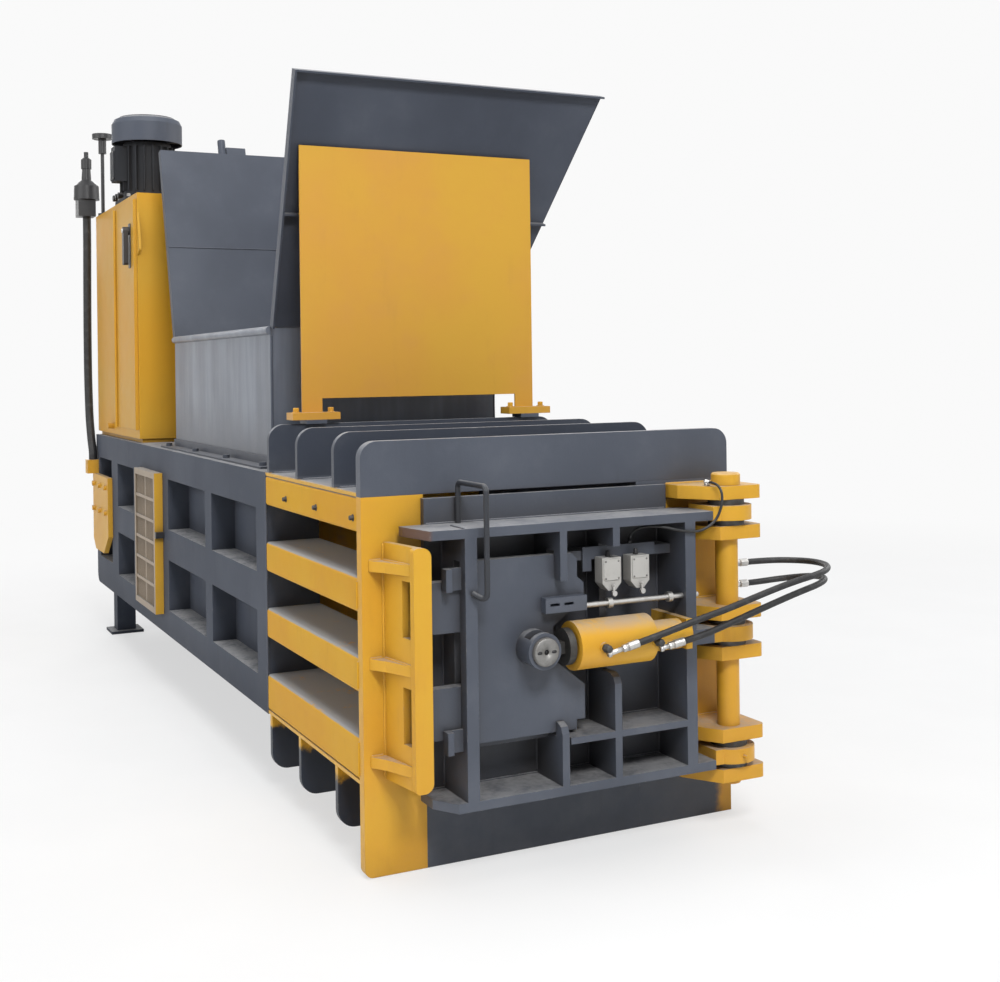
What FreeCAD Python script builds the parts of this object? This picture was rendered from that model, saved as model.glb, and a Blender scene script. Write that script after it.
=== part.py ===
import FreeCAD, Part
import math
import os
import Sketcher

# A closed-door recycling baler: a long press body with a slotted bale chamber behind a heavy
# front frame, a hinged discharge door with a sliding hydraulic lock, a funnel hopper on top
# and a power housing over the rear.  Millimetres.
# x = 0 is the front face of the front frame and +X is the way the bale leaves, y = 0 is the
# middle plane of the press body, z = 0 is the floor.

os.makedirs("parts", exist_ok=True)
doc = FreeCAD.newDocument("RecyclingBaler")
sheet = doc.addObject("Spreadsheet::Sheet", "Dims")

SIZES = [
    ("chamber_half", 400, "half width of the bale chamber"),
    ("floor_level", 300, "top of the chamber floor"),
    ("roof_level", 1195, "underside of the chamber roof"),
    ("shell_plate", 12, "plate of the chamber roof, floor and liner"),
    ("side_face", 612, "half width over the side beams and the body"),
    ("frame_thick", 40, "front frame plate"),
    ("frame_right", 784, "hinge side edge of the front frame"),
    ("frame_top", 1370, "top of the front frame"),
    ("frame_round", 55, "rounding of its top corners"),
    ("frame_foot_round", 28, "rounding of its bottom corner"),
    ("chamber_length", 1000, "slotted chamber behind the front frame"),
    ("beam_height", 113, "side beam"),
    ("low_beam_height", 135, "lowest side beam"),
    ("beam_wall", 12, "wall of a side beam"),
    ("beam_round", 12, "outer edge of a side beam"),
    ("rib_thick", 25, "cross rib over and under the chamber"),
    ("rib_rise", 195, "height of a rib over the roof level"),
    ("rib_clear", 82, "underside of the ribs over the floor"),
    ("rib_round", 62, "rounding of the rib corners"),
    ("rib_front", 208, "from the frame's back to the first rib"),
    ("rib_pitch_near", 391, "first to second rib"),
    ("rib_pitch_far", 351, "second to third rib"),
    ("body_length", 3732, "press body behind the chamber"),
    ("wall_drop", 17, "side wall below the floor level"),
    ("pocket_depth", 105, "depth of the windows in the side walls"),
    ("wall_post_1", 136, "front post of the side wall, as a part of its length"),
    ("window_1", 702, "first window, as a part of that length"),
    ("wall_post_2", 115, "second post"),
    ("window_2", 747, "second window"),
    ("wall_post_3", 139, "third post"),
    ("window_3", 677, "third window"),
    ("wall_post_4", 42, "fourth post"),
    ("window_4", 472, "fourth window"),
    ("wall_post_5", 188, "fifth post"),
    ("window_5", 397, "fifth window"),
    ("wall_post_6", 117, "rear post"),
    ("row_low", 111, "lower row of windows over the floor level"),
    ("row_high", 512, "upper row of windows"),
    ("row_height", 250, "height of a window"),
    ("row_tall", 156, "tall window over the floor level"),
    ("row_tall_height", 612, "its height"),
    ("hatch_rear", 2950, "rear edge of the feed hatch behind the frame"),
    ("hatch_front", 1300, "front edge of the feed hatch"),
    ("hatch_half", 385, "half width of the feed hatch"),
    ("foot_set", 4500, "rear feet behind the front frame"),
    ("foot_half", 500, "rear feet from the middle plane"),
    ("foot_post", 110, "post of a rear foot"),
    ("foot_pad", 190, "pad of a rear foot"),
    ("foot_pad_thick", 16, "thickness of that pad"),
    ("hopper_left", 514, "hopper wall on the operator's side"),
    ("hopper_right", 486, "hopper wall on the hinge side"),
    ("hopper_rear", 2974, "rear wall of the lower hopper"),
    ("hopper_front", 1285, "front wall of the lower hopper"),
    ("hopper_sheet", 8, "hopper sheet"),
    ("hopper_sill", 1775, "top of the lower hopper"),
    ("hopper_seam", 440, "seam of the leaning panels above the sill"),
    ("front_rise", 969, "height of the leaning front panel"),
    ("front_lean", 335, "lean of the front panel over that height"),
    ("rear_rise", 1008, "height of the leaning rear panel"),
    ("rear_lean", 296, "lean of the rear panel over that height"),
    ("side_flare", 355, "flare of the side panel over the front rise"),
    ("edge_flange", 42, "flange along the free edges of the panels"),
    ("lip_round", 17, "radius of the rolled sill"),
    ("curb_leg", 65, "leg of the angle curb under the hopper"),
    ("curb_high", 43, "height of that curb"),
    ("curb_bolt", 15, "half width of a curb bolt head"),
    ("guard_left", 470, "left edge of the hopper guard plate"),
    ("guard_right", 533, "right edge of the hopper guard plate"),
    ("guard_sill", 1486, "bottom edge of the guard plate"),
    ("guard_top", 2465, "top edge of the guard plate"),
    ("guard_leg", 82, "width of its corner legs"),
    ("guard_sheet", 8, "its sheet"),
    ("guard_foot", 190, "foot of a leg"),
    ("guard_foot_thick", 28, "thickness of that foot"),
    ("guard_pad", 15, "pad under a foot"),
    ("guard_brace", 115, "the legs' webs end under the plate's top edge"),
    ("guard_web", 20, "depth of a leg's web behind the plate"),
    ("keep_left", 521, "left edge of the lock keeper's front plate"),
    ("keep_right", 462, "right edge of the lock keeper"),
    ("keep_low", 305, "bottom of the keeper plate"),
    ("keep_top", 1052, "top of the keeper plate"),
    ("keep_thick", 30, "keeper plate"),
    ("keep_reach", 205, "front face of the keeper plate"),
    ("keep_root", 590, "left edge of its gussets on the post"),
    ("gusset_thick", 34, "gusset of the keeper"),
    ("gusset_low", 364, "middle of its low gusset"),
    ("gusset_mid", 671, "middle of its second gusset"),
    ("gusset_high", 979, "middle of its upper gusset"),
    ("web_thick", 22, "web between the gussets"),
    ("web_root", 540, "outer face of the web on the post"),
    ("web_end", 512, "outer face of the web at the front plate"),
    ("finger_play", 8, "play of a lock finger in the web's slot"),
    ("hinge_x", 145, "hinge axis before the front frame"),
    ("hinge_y", 673, "hinge axis beside the middle plane"),
    ("hinge_pin", 78, "diameter of the hinge pin"),
    ("hinge_play", 0.08, "radial play round the hinge pin"),
    ("knuckle_thick", 50, "door knuckle"),
    ("knuckle_round", 87, "radius of the door knuckle"),
    ("lug_thick", 46, "lug on the frame"),
    ("lug_gap", 20, "gap between a knuckle and a lug"),
    ("washer_play", 0.3, "play over and under a thrust washer"),
    ("knuckle_high", 1091, "middle of the top knuckle"),
    ("knuckle_mid", 681, "middle of the second knuckle"),
    ("knuckle_low", 265, "middle of the bottom knuckle"),
    ("pin_head", 42, "head of the hinge pin"),
    ("door_gap", 2, "door skin before the front frame"),
    ("door_sheet", 25, "door skin"),
    ("door_left", 410, "left edge of the door skin"),
    ("door_right", 504, "right edge of the door skin"),
    ("door_low", 262, "bottom of the door skin"),
    ("door_high", 1183, "top of the door skin"),
    ("door_depth", 205, "front edge of the door ribs"),
    ("shelf_low", 227, "underside of the bottom shelf"),
    ("shelf_thick", 30, "door shelf"),
    ("shelf_top", 1101, "top of the upper shelf"),
    ("shelf_left", 496, "left end of the upper shelf"),
    ("base_left", 432, "left end of the bottom shelf"),
    ("post_left", 349, "left face of the door's left post"),
    ("post_thick", 41, "door post"),
    ("post_right", 463, "left face of the door's right post"),
    ("rib_a", 15, "left face of the middle rib"),
    ("rib_b", 182, "left face of the second rib"),
    ("door_rib", 26, "thickness of the upright ribs"),
    ("cross_high", 958, "underside of the upper cross rib"),
    ("cross_low", 395, "underside of the lower cross rib"),
    ("cross_thick", 32, "upper cross rib"),
    ("lip_upper", 912, "lower end of the middle rib's upper lip"),
    ("lip_lower", 455, "upper end of the middle rib's lower lip"),
    ("lip_bend", 32, "rounding of those ends"),
    ("brace_top", 593, "upper end of the second rib's lower half"),
    ("stay_high", 944, "middle of the upper retainer on the left post"),
    ("stay_low", 443, "middle of the lower retainer"),
    ("stay_long", 70, "length of a retainer"),
    ("stay_reach", 63, "reach of a retainer beside the post"),
    ("stay_bar", 20, "width of its bar"),
    ("plate_back", 120, "back of the lock plate"),
    ("plate_thick", 40, "lock plate"),
    ("plate_left", 299, "left edge of the lock plate"),
    ("plate_right", 95, "right edge of the lock plate's lower part"),
    ("plate_upper", 71, "right edge of its upper part"),
    ("plate_step", 895, "height of that step"),
    ("plate_arm", 809, "underside of its arm over the cylinder"),
    ("plate_waist", 19, "its waist left of the middle plane"),
    ("plate_foot", 64, "right edge of its foot"),
    ("plate_foot_top", 452, "height of that foot"),
    ("plate_low", 421, "bottom of the lock plate"),
    ("plate_top", 993, "top of the lock plate"),
    ("finger_tip", 448, "tips of the lock fingers"),
    ("finger_high", 776, "bottom of the upper finger"),
    ("finger_low", 447, "bottom of the lower finger"),
    ("finger_width", 160, "width of a finger"),
    ("lock_play", 3, "play of the lock plate in the door's post"),
    ("lock_travel", 80, "travel of the lock"),
    ("ram_axis", 705, "height of the lock cylinder's axis"),
    ("ram_front", 210, "lock cylinder's axis before the frame"),
    ("clevis_y", 98, "clevis pin left of the middle plane"),
    ("clevis_round", 58, "radius of the clevis"),
    ("clevis_slot", 40, "eye of the lock rod"),
    ("clevis_pin", 52, "clevis pin"),
    ("clevis_head", 45, "radius of its head"),
    ("rod_eye", 40, "radius of the lock rod's eye"),
    ("rod_collar", 59, "radius of the collar on the lock rod"),
    ("rod_collar_thick", 24, "its thickness"),
    ("rod_collar_gap", 8, "collar to the cylinder's open end"),
    ("barrel_radius", 78, "lock cylinder"),
    ("barrel_start", 16, "open end of the lock cylinder"),
    ("barrel_length", 283, "its barrel"),
    ("cap_radius", 50, "its rear cap"),
    ("rod_radius", 28, "its rod"),
    ("fit_play", 0.08, "radial play of a rod or pin in its bore"),
    ("trip_level", 823, "height of the trip rod"),
    ("trip_x", 180, "trip rod before the frame"),
    ("trip_radius", 9, "trip rod"),
    ("collar_radius", 17, "collar on the trip rod"),
    ("switch_case", 71, "width of a limit switch"),
    ("switch_first", 163, "left face of the first limit switch"),
    ("switch_pitch", 109, "first to second limit switch"),
    ("switch_low", 860, "bottom of the limit switches"),
    ("switch_top", 968, "top of the limit switches"),
    ("switch_board", 117, "left edge of the switch plate"),
    ("switch_board_end", 397, "its right edge"),
    ("switch_board_low", 960, "its bottom"),
    ("switch_board_top", 1001.2, "its top"),
    ("switch_tab", 33, "width of the tab at its left end"),
    ("switch_tab_low", 921, "bottom of that tab"),
    ("trip_collar", 170, "first collar of the trip rod"),
    ("trip_collar_far", 403, "second collar"),
    ("trip_foot", 63, "left end of the trip rod's foot"),
    ("trip_foot_end", 88, "its right end"),
    ("trip_foot_high", 36, "height of that foot"),
    ("trip_slot", 34, "length of its two slots"),
    ("roller_radius", 9, "roller of a switch lever"),
    ("roller_play", 3, "gap of the rollers over the collars"),
    ("lever_length", 24, "lever of a limit switch"),
    ("grip_radius", 9, "bar of the door handle"),
    ("grip_rise", 131, "door handle over the upper shelf"),
    ("grip_reach", 45, "door handle before the ribs"),
    ("grip_drop", 353, "its upright bar"),
    ("grip_y", 296, "door handle left of the middle plane"),
    ("house_front", 3500, "front of the power housing behind the frame"),
    ("house_rear", 4790, "rear of the power housing"),
    ("house_left", 594, "operator's side of the power housing"),
    ("house_right", 250, "far side of the power housing"),
    ("house_top", 2580, "top of the power housing"),
    ("plinth_high", 22, "plinth under the power housing"),
    ("plinth_inset", 18, "its set-back"),
    ("lug_top", 2473, "top of the lifting lug on the housing's corner"),
    ("lug_length", 236, "length of that lug"),
    ("lug_reach", 52, "its reach"),
    ("lug_sheet", 12, "its plate"),
    ("house_sheet", 6, "sheet of its door and bay"),
    ("bay_rear", 4116, "rear edge of the housing's door"),
    ("bay_depth", 260, "depth of the bay behind that door"),
    ("bay_margin", 70, "frame round the bay"),
    ("lever_level", 2385, "pivot of the housing door's lever"),
    ("lever_drop", 190, "length of that lever under its pivot"),
    ("lever_set", 178, "the lever behind the housing's front"),
    ("lever_wide", 46, "width of the lever"),
    ("lever_proud", 38, "depth of the lever"),
    ("motor_x", 4000, "motor behind the front frame"),
    ("motor_y", 431, "motor left of the middle plane"),
    ("motor_radius", 158, "motor body"),
    ("motor_fin", 22, "height of its cooling fins"),
    ("motor_length", 345, "motor from its base to the fan cowl"),
    ("cowl_radius", 200, "fan cowl"),
    ("cowl_length", 150, "its length"),
    ("cowl_sheet", 4, "its sheet"),
    ("cowl_shoulder", 40, "rounded shoulder of the cowl"),
    ("terminal_low", 2700, "bottom of the motor's terminal box"),
    ("terminal_wide", 115, "its width"),
    ("shaft_radius", 19, "motor shaft"),
    ("press_face", 1250, "ram's face behind the front frame"),
    ("press_length", 1650, "length of the ram"),
    ("press_stroke", 1500, "way the ram draws back from where it stands"),
    ("press_play", 8, "play of the ram in the chamber"),
    ("press_plate", 20, "plate of the ram"),
    ("press_nose", 60, "front plate of the ram"),
    ("main_radius", 110, "main cylinder"),
    ("main_front", 2990, "its gland end behind the frame"),
    ("main_rod", 60, "its rod radius"),
    ("mesh_wide", 500, "width of the mesh door"),
    ("mesh_lap", 19, "its free edge before the third window"),
    ("mesh_low", 375, "bottom of the mesh door"),
    ("mesh_top", 1085, "top of the mesh door"),
    ("mesh_proud", 42, "depth of the mesh door"),
    ("mesh_frame", 30, "bar round the mesh"),
    ("anchor_thick", 28, "anchor plate of the main cylinder"),
    ("anchor_set", 27, "anchor plate before the body's rear"),
    ("anchor_wide", 505, "length of the anchor plate"),
    ("anchor_low", 500, "bottom of the anchor plate"),
    ("anchor_top", 965, "its top"),
    ("anchor_bevel", 80, "its cut corners"),
    ("anchor_bolt", 16, "radius of its bolt heads"),
    ("line_radius", 25, "pressure line"),
    ("valve_rear", 4620, "rear of the valve block behind the frame"),
    ("valve_front", 4320, "front of the valve block"),
    ("valve_left", 480, "operator's side of the valve block"),
    ("valve_right", 260, "its far side"),
    ("valve_high", 70, "its height"),
    ("coil_pitch", 80, "one valve coil to the next"),
    ("coil_wide", 50, "width of a coil"),
    ("coil_high", 48, "height of a coil"),
    ("filler_x", 4700, "filler behind the frame"),
    ("filler_y", 565, "filler left of the middle plane"),
    ("filler_foot", 30, "radius of the filler's foot"),
    ("filler_stem", 11, "radius of its stem"),
    ("filler_neck", 372, "length of the stem"),
    ("filler_cup", 24, "radius of the cup under its cap"),
    ("filler_cap", 61, "radius of its cap"),
    ("filler_high", 512, "height of the filler"),
    ("prefill_x", 4850, "prefill valve behind the frame"),
    ("prefill_half", 60, "half width of its block"),
    ("prefill_low", 2586, "bottom of its block"),
    ("prefill_high", 108, "height of its block"),
    ("prefill_bowl", 79, "radius of its bowl"),
    ("prefill_neck", 26, "radius of its neck"),
    ("prefill_cap", 32, "radius of its cap"),
    ("prefill_tip", 14, "radius of its tip"),
    ("line_y", 640, "pressure line left of the middle plane"),
    ("ferrule_radius", 14, "crimped end of a hose"),
    ("ferrule_length", 58, "length of that end"),
    ("port_first", 95, "first port of the lock cylinder"),
    ("port_second", 290, "second port of the lock cylinder"),
    ("hose_thick", 22, "hose of the lock cylinder"),
    ("wire_thick", 9, "switch cable"),
]


class Size(float):
    """A number that keeps the sheet formula it was worked out with."""

    def __new__(cls, value, text):
        size = super().__new__(cls, value)
        size.text = text
        return size

    def __add__(self, other):
        return Size(float(self) + float(other), "(%s + %s)" % (formula(self), formula(other)))

    def __radd__(self, other):
        return Size(float(other) + float(self), "(%s + %s)" % (formula(other), formula(self)))

    def __sub__(self, other):
        return Size(float(self) - float(other), "(%s - %s)" % (formula(self), formula(other)))

    def __rsub__(self, other):
        return Size(float(other) - float(self), "(%s - %s)" % (formula(other), formula(self)))

    def __mul__(self, other):
        return Size(float(self) * float(other), "(%s * %s)" % (formula(self), formula(other)))

    def __rmul__(self, other):
        return self * other

    def __truediv__(self, other):
        return Size(float(self) / float(other), "(%s / %s)" % (formula(self), formula(other)))

    def __neg__(self):
        return Size(-float(self), "(-1 * %s)" % formula(self))


def formula(value):
    """The sheet formula of a size, or the digits of a plain number."""
    if isinstance(value, Size):
        return value.text
    return "(%r)" % float(value)


class Dimensions:
    """Every driving size of the sheet under its alias."""


D = Dimensions()
for row, (alias, value, meaning) in enumerate(SIZES, 1):
    sheet.set("A%d" % row, meaning)
    sheet.set("B%d" % row, str(value))
    sheet.setAlias("B%d" % row, alias)
    setattr(D, alias, Size(value, "Dims." + alias))
doc.recompute()

NODES = []
AXIS_TURN = {
    "x": FreeCAD.Rotation(FreeCAD.Vector(0, 1, 0), 90),
    "y": FreeCAD.Rotation(FreeCAD.Vector(1, 0, 0), -90),
    "z": FreeCAD.Rotation(),
}
counter = {"made": 0}


def fresh(stem):
    """A document name that no other object has."""
    counter["made"] += 1
    return "%s_%d" % (stem, counter["made"])


def bind(thing, path, value):
    """Tie one property to the sheet formula of a size."""
    if isinstance(value, Size):
        thing.setExpression(path, value.text)


def place(thing, x, y, z, turn=None):
    """Put an object at a point whose coordinates stay tied to the sheet."""
    spot = FreeCAD.Vector(float(x), float(y), float(z))
    thing.Placement = FreeCAD.Placement(spot, turn or FreeCAD.Rotation())
    for letter, value in (("x", x), ("y", y), ("z", z)):
        bind(thing, "Placement.Base." + letter, value)
    return thing


def node(name, thing):
    """Name a finished sub-part; its label becomes its file's name."""
    thing.Label = name
    NODES.append(thing)
    return thing


def box(x0, x1, y0, y1, z0, z1):
    """A block between two values on each axis."""
    block = doc.addObject("Part::Box", fresh("block"))
    for side, value in (("Length", x1 - x0), ("Width", y1 - y0), ("Height", z1 - z0)):
        setattr(block, side, float(value))
        bind(block, side, value)
    return place(block, x0, y0, z0)


def spoke(x, y, z, inner, outer, wide, high, turn):
    """A bar that points away from an upright axis, from one radius to another."""
    bar = box(0, outer - inner, 0, wide, 0, high)
    angle = math.radians(turn)
    along = (math.cos(angle), math.sin(angle))
    corner_x = x + inner * along[0] + wide / 2 * along[1]
    corner_y = y + inner * along[1] - wide / 2 * along[0]
    return place(bar, corner_x, corner_y, z, FreeCAD.Rotation(FreeCAD.Vector(0, 0, 1), turn))


def rod(axis, x, y, z, radius, length):
    """A round bar from a point along one axis."""
    bar = doc.addObject("Part::Cylinder", fresh("bar"))
    bar.Radius = float(radius)
    bar.Height = float(length)
    bind(bar, "Radius", radius)
    bind(bar, "Height", length)
    return place(bar, x, y, z, AXIS_TURN[axis])


def fuse(*shapes):
    """One weldment of several shapes."""
    joined = doc.addObject("Part::MultiFuse", fresh("weldment"))
    joined.Shapes = list(shapes)
    return joined


def group(*shapes):
    """Separate solids that share one node."""
    held = doc.addObject("Part::Compound", fresh("set"))
    held.Links = list(shapes)
    return held


def cut(base, *tools):
    """A shape with other shapes taken away."""
    left = doc.addObject("Part::Cut", fresh("cut"))
    left.Base = base
    left.Tool = tools[0] if len(tools) == 1 else fuse(*tools)
    return left


def sketch_on(body, plane, start):
    """A sketch on one of the body's own planes, moved along that plane's normal."""
    support = [one for one in body.Origin.OriginFeatures if one.Role == plane][0]
    sketch = body.newObject("Sketcher::SketchObject", fresh("sketch"))
    sketch.AttachmentSupport = (support, [""])
    sketch.MapMode = "FlatFace"
    sketch.AttachmentOffset = FreeCAD.Placement(FreeCAD.Vector(0, 0, float(start)), FreeCAD.Rotation())
    bind(sketch, "AttachmentOffset.Base.z", start)
    return sketch


def hold(sketch, element, point, across, up):
    """Tie one point of a sketch to its two coordinates."""
    for kind, value in (("DistanceX", across), ("DistanceY", up)):
        index = sketch.addConstraint(Sketcher.Constraint(kind, -1, 1, element, point, float(value)))
        bind(sketch, "Constraints[%d]" % index, value)


def draw_loop(sketch, points):
    """A closed outline through points, each tied to its coordinates."""
    first = sketch.GeometryCount
    count = len(points)
    for index, (across, up) in enumerate(points):
        end = points[(index + 1) % count]
        start = FreeCAD.Vector(float(across), float(up), 0)
        stop = FreeCAD.Vector(float(end[0]), float(end[1]), 0)
        sketch.addGeometry(Part.LineSegment(start, stop), False)
    for index in range(count):
        following = first + (index + 1) % count
        sketch.addConstraint(Sketcher.Constraint("Coincident", first + index, 2, following, 1))
    for index, (across, up) in enumerate(points):
        hold(sketch, first + index, 1, across, up)


def draw_circle(sketch, across, up, radius):
    """A circle tied to its centre and radius."""
    centre = FreeCAD.Vector(float(across), float(up), 0)
    circle = Part.Circle(centre, FreeCAD.Vector(0, 0, 1), float(radius))
    number = sketch.addGeometry(circle, False)
    hold(sketch, number, 3, across, up)
    index = sketch.addConstraint(Sketcher.Constraint("Radius", number, float(radius)))
    bind(sketch, "Constraints[%d]" % index, radius)


def rectangle(left, right, low, high):
    """The four corners of an upright rectangle."""
    return [(left, low), (right, low), (right, high), (left, high)]


def pad(plane, start, length, loops, circles=(), rounds=()):
    """A plate: outlines on a plane, padded along its normal, with some corners rounded.

    rounds holds (across, up, radius) of the corners to round.
    """
    body = doc.addObject("PartDesign::Body", fresh("plate"))
    sketch = sketch_on(body, plane, start)
    for points in loops:
        draw_loop(sketch, points)
    for across, up, radius in circles:
        draw_circle(sketch, across, up, radius)
    raised = body.newObject("PartDesign::Pad", fresh("pad"))
    raised.Profile = sketch
    raised.Length = float(length)
    bind(raised, "Length", length)
    if rounds:
        doc.recompute()
        flat = {"XY_Plane": (0, 1), "XZ_Plane": (0, 2), "YZ_Plane": (1, 2)}[plane]
        last = raised
        for radius in sorted({float(one[2]) for one in rounds}):
            wanted = [one for one in rounds if float(one[2]) == radius]
            names = []
            for number, edge in enumerate(last.Shape.Edges, 1):
                middle = edge.CenterOfMass
                along = edge.BoundBox
                spread = (along.XLength, along.YLength, along.ZLength)
                if spread[flat[0]] > 0.01 or spread[flat[1]] > 0.01:
                    continue
                for across, up, size in wanted:
                    near = abs(middle[flat[0]] - float(across)) + abs(middle[flat[1]] - float(up))
                    if near < 0.01:
                        names.append("Edge%d" % number)
            rounding = body.newObject("PartDesign::Fillet", fresh("rounding"))
            rounding.Base = (last, names)
            rounding.Radius = radius
            bind(rounding, "Radius", wanted[0][2])
            doc.recompute()
            last = rounding
    return body


def across_x(x0, x1, loops, circles=(), rounds=()):
    """A plate that faces +X; its outline is given as (y, z)."""
    return pad("YZ_Plane", x0, x1 - x0, loops, circles, rounds)


def across_y(y0, y1, loops, circles=(), rounds=()):
    """A plate that faces sideways; its outline is given as (x, z)."""
    return pad("XZ_Plane", -y1, y1 - y0, loops, circles, rounds)


def across_z(z0, z1, loops, circles=(), rounds=()):
    """A level plate; its outline is given as (x, y)."""
    return pad("XY_Plane", z0, z1 - z0, loops, circles, rounds)


def turned(axis, x, y, z, profile):
    """A turned piece: (radius, along) points revolved about one axis through a point."""
    body = doc.addObject("PartDesign::Body", fresh("turned"))
    sketch = sketch_on(body, "XZ_Plane", 0)
    draw_loop(sketch, profile)
    round_off = body.newObject("PartDesign::Revolution", fresh("revolve"))
    round_off.Profile = sketch
    round_off.ReferenceAxis = (sketch, ["V_Axis"])
    round_off.Angle = 360
    return place(body, x, y, z, AXIS_TURN[axis])


def tube(name, points, diameter, smallest=None):
    """A round tube through points: straight runs joined by the largest tangent arcs."""
    route = [FreeCAD.Vector(*[float(part) for part in point]) for point in points]
    edges = []
    radii = []
    here = route[0]
    for index in range(1, len(route) - 1):
        corner = route[index]
        back = corner - route[index - 1]
        ahead = route[index + 1] - corner
        turn = back.getAngle(ahead)
        reach = 0.45 * min(back.Length, ahead.Length)
        radius = reach / math.tan(turn / 2)
        if smallest is not None and radius > smallest:
            radius = smallest
            reach = radius * math.tan(turn / 2)
        radii.append(radius)
        back.normalize()
        ahead.normalize()
        enter = corner - back * reach
        leave = corner + ahead * reach
        inward = (ahead - back)
        inward.normalize()
        middle = corner + inward * (radius / math.cos(turn / 2) - radius)
        edges.append(Part.LineSegment(here, enter).toShape())
        edges.append(Part.Arc(enter, middle, leave).toShape())
        here = leave
    edges.append(Part.LineSegment(here, route[-1]).toShape())
    path = Part.Wire(edges)
    start = route[1] - route[0]
    ring = Part.Circle(route[0], start, float(diameter) / 2).toShape()
    solid = path.makePipeShell([Part.Wire([ring])], True, True)
    section = math.pi * float(diameter) ** 2 / 4
    print("%s: length %.1f, least radius %.1f, volume over section x length %.5f"
          % (name, path.Length, min(radii), solid.Volume / (section * path.Length)))
    made = doc.addObject("Part::Feature", fresh("tube"))
    made.Shape = solid
    return made


# ---------------------------------------------------------------- front frame

frame_back = -D.frame_thick
body_front = frame_back - D.chamber_length
body_rear = body_front - D.body_length
roof_top = D.roof_level + D.shell_plate
floor_under = D.floor_level - D.shell_plate


def make_front_frame():
    """Two posts, a lintel and a sill, welded round the chamber's mouth."""
    post_left = across_x(
        frame_back, 0,
        [rectangle(-D.side_face, -D.chamber_half, 0, D.roof_level)],
        rounds=[(-D.side_face, 0, D.frame_foot_round)])
    post_right = across_x(
        frame_back, 0,
        [rectangle(D.chamber_half, D.frame_right, 0, D.roof_level)])
    lintel = across_x(
        frame_back, 0,
        [rectangle(-D.side_face, D.frame_right, D.roof_level, D.frame_top)],
        rounds=[(-D.side_face, D.frame_top, D.frame_round),
                (D.frame_right, D.frame_top, D.frame_round)])
    sill = across_x(
        frame_back, 0,
        [rectangle(-D.chamber_half, D.chamber_half, 0, D.floor_level)])
    node("frame_post_left", post_left)
    node("frame_post_right", post_right)
    node("frame_lintel", lintel)
    node("frame_sill", sill)


# ---------------------------------------------------------------- bale chamber

def make_side_beams():
    """Four box beams on each side; the straps are pushed through the slots between them."""
    low_top = D.floor_level + D.low_beam_height
    pitch = (D.roof_level - low_top) / 3
    spans = [(D.floor_level, low_top)]
    for step in (1, 2, 3):
        top = low_top + step * pitch
        spans.append((top - D.beam_height, top))
    for side, near in (("left", -D.side_face), ("right", D.chamber_half)):
        far = near + (D.side_face - D.chamber_half)
        for number, (low, high) in enumerate(spans, 1):
            outer = near if side == "left" else far
            beam = across_x(
                body_front, frame_back,
                [rectangle(near, far, low, high),
                 rectangle(near + D.beam_wall, far - D.beam_wall,
                           low + D.beam_wall, high - D.beam_wall)],
                rounds=[(outer, low, D.beam_round), (outer, high, D.beam_round)])
            node("side_beam_%s_%d" % (side, number), beam)


def rib_places():
    """Front faces of the three cross ribs."""
    first = frame_back - D.rib_front
    second = first - D.rib_pitch_near
    third = second - D.rib_pitch_far
    return first, second, third


def make_chamber_plates():
    """Roof and floor of the chamber, each stiffened by three cross ribs."""
    rib_top = D.roof_level + D.rib_rise
    roof = [box(body_front, frame_back, -D.side_face, D.side_face, D.roof_level, roof_top)]
    ground = [box(body_front, frame_back, -D.side_face, D.side_face, floor_under, D.floor_level)]
    for face in rib_places():
        roof.append(across_x(
            face - D.rib_thick, face,
            [rectangle(-D.side_face, D.side_face, D.roof_level, rib_top)],
            rounds=[(-D.side_face, rib_top, D.rib_round), (D.side_face, rib_top, D.rib_round)]))
        ground.append(across_x(
            face - D.rib_thick, face,
            [rectangle(-D.side_face, D.side_face, D.rib_clear, D.floor_level)],
            rounds=[(-D.side_face, D.rib_clear, D.rib_round),
                    (D.side_face, D.rib_clear, D.rib_round)]))
    node("chamber_roof", fuse(*roof))
    node("chamber_floor", fuse(*ground))


# ---------------------------------------------------------------- press body

liner_face = D.chamber_half + D.shell_plate
low_row = (D.floor_level + D.row_low, D.floor_level + D.row_low + D.row_height)
high_row = (D.floor_level + D.row_high, D.floor_level + D.row_high + D.row_height)
tall_row = (D.floor_level + D.row_tall, D.floor_level + D.row_tall + D.row_tall_height)
wall_posts = (D.wall_post_1, D.wall_post_2, D.wall_post_3, D.wall_post_4, D.wall_post_5)
window_widths = (D.window_1, D.window_2, D.window_3, D.window_4, D.window_5)
wall_parts = sum(wall_posts) + sum(window_widths) + D.wall_post_6


def window_places():
    """Near edge and width of each window, shared out over the body's length."""
    places = []
    reached = 0
    for post, wide in zip(wall_posts, window_widths):
        near = reached + post
        reached = near + wide
        places.append((D.body_length * near / wall_parts, D.body_length * wide / wall_parts))
    return places


def make_body_box():
    """The ram's channel: roof with the feed hatch, floor, liners and rear plate."""
    tube_outer = rectangle(-liner_face, liner_face, floor_under, roof_top)
    tube_inner = rectangle(-D.chamber_half, D.chamber_half, D.floor_level, D.roof_level)
    channel = across_x(body_rear + D.shell_plate, body_front, [tube_outer, tube_inner])
    rear = across_x(body_rear, body_rear + D.shell_plate, [tube_outer])
    hatch = box(-D.hatch_rear, -D.hatch_front, -D.hatch_half, D.hatch_half,
                D.roof_level - D.shell_plate, roof_top + D.shell_plate)
    node("body_box", cut(fuse(channel, rear), hatch))


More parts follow.
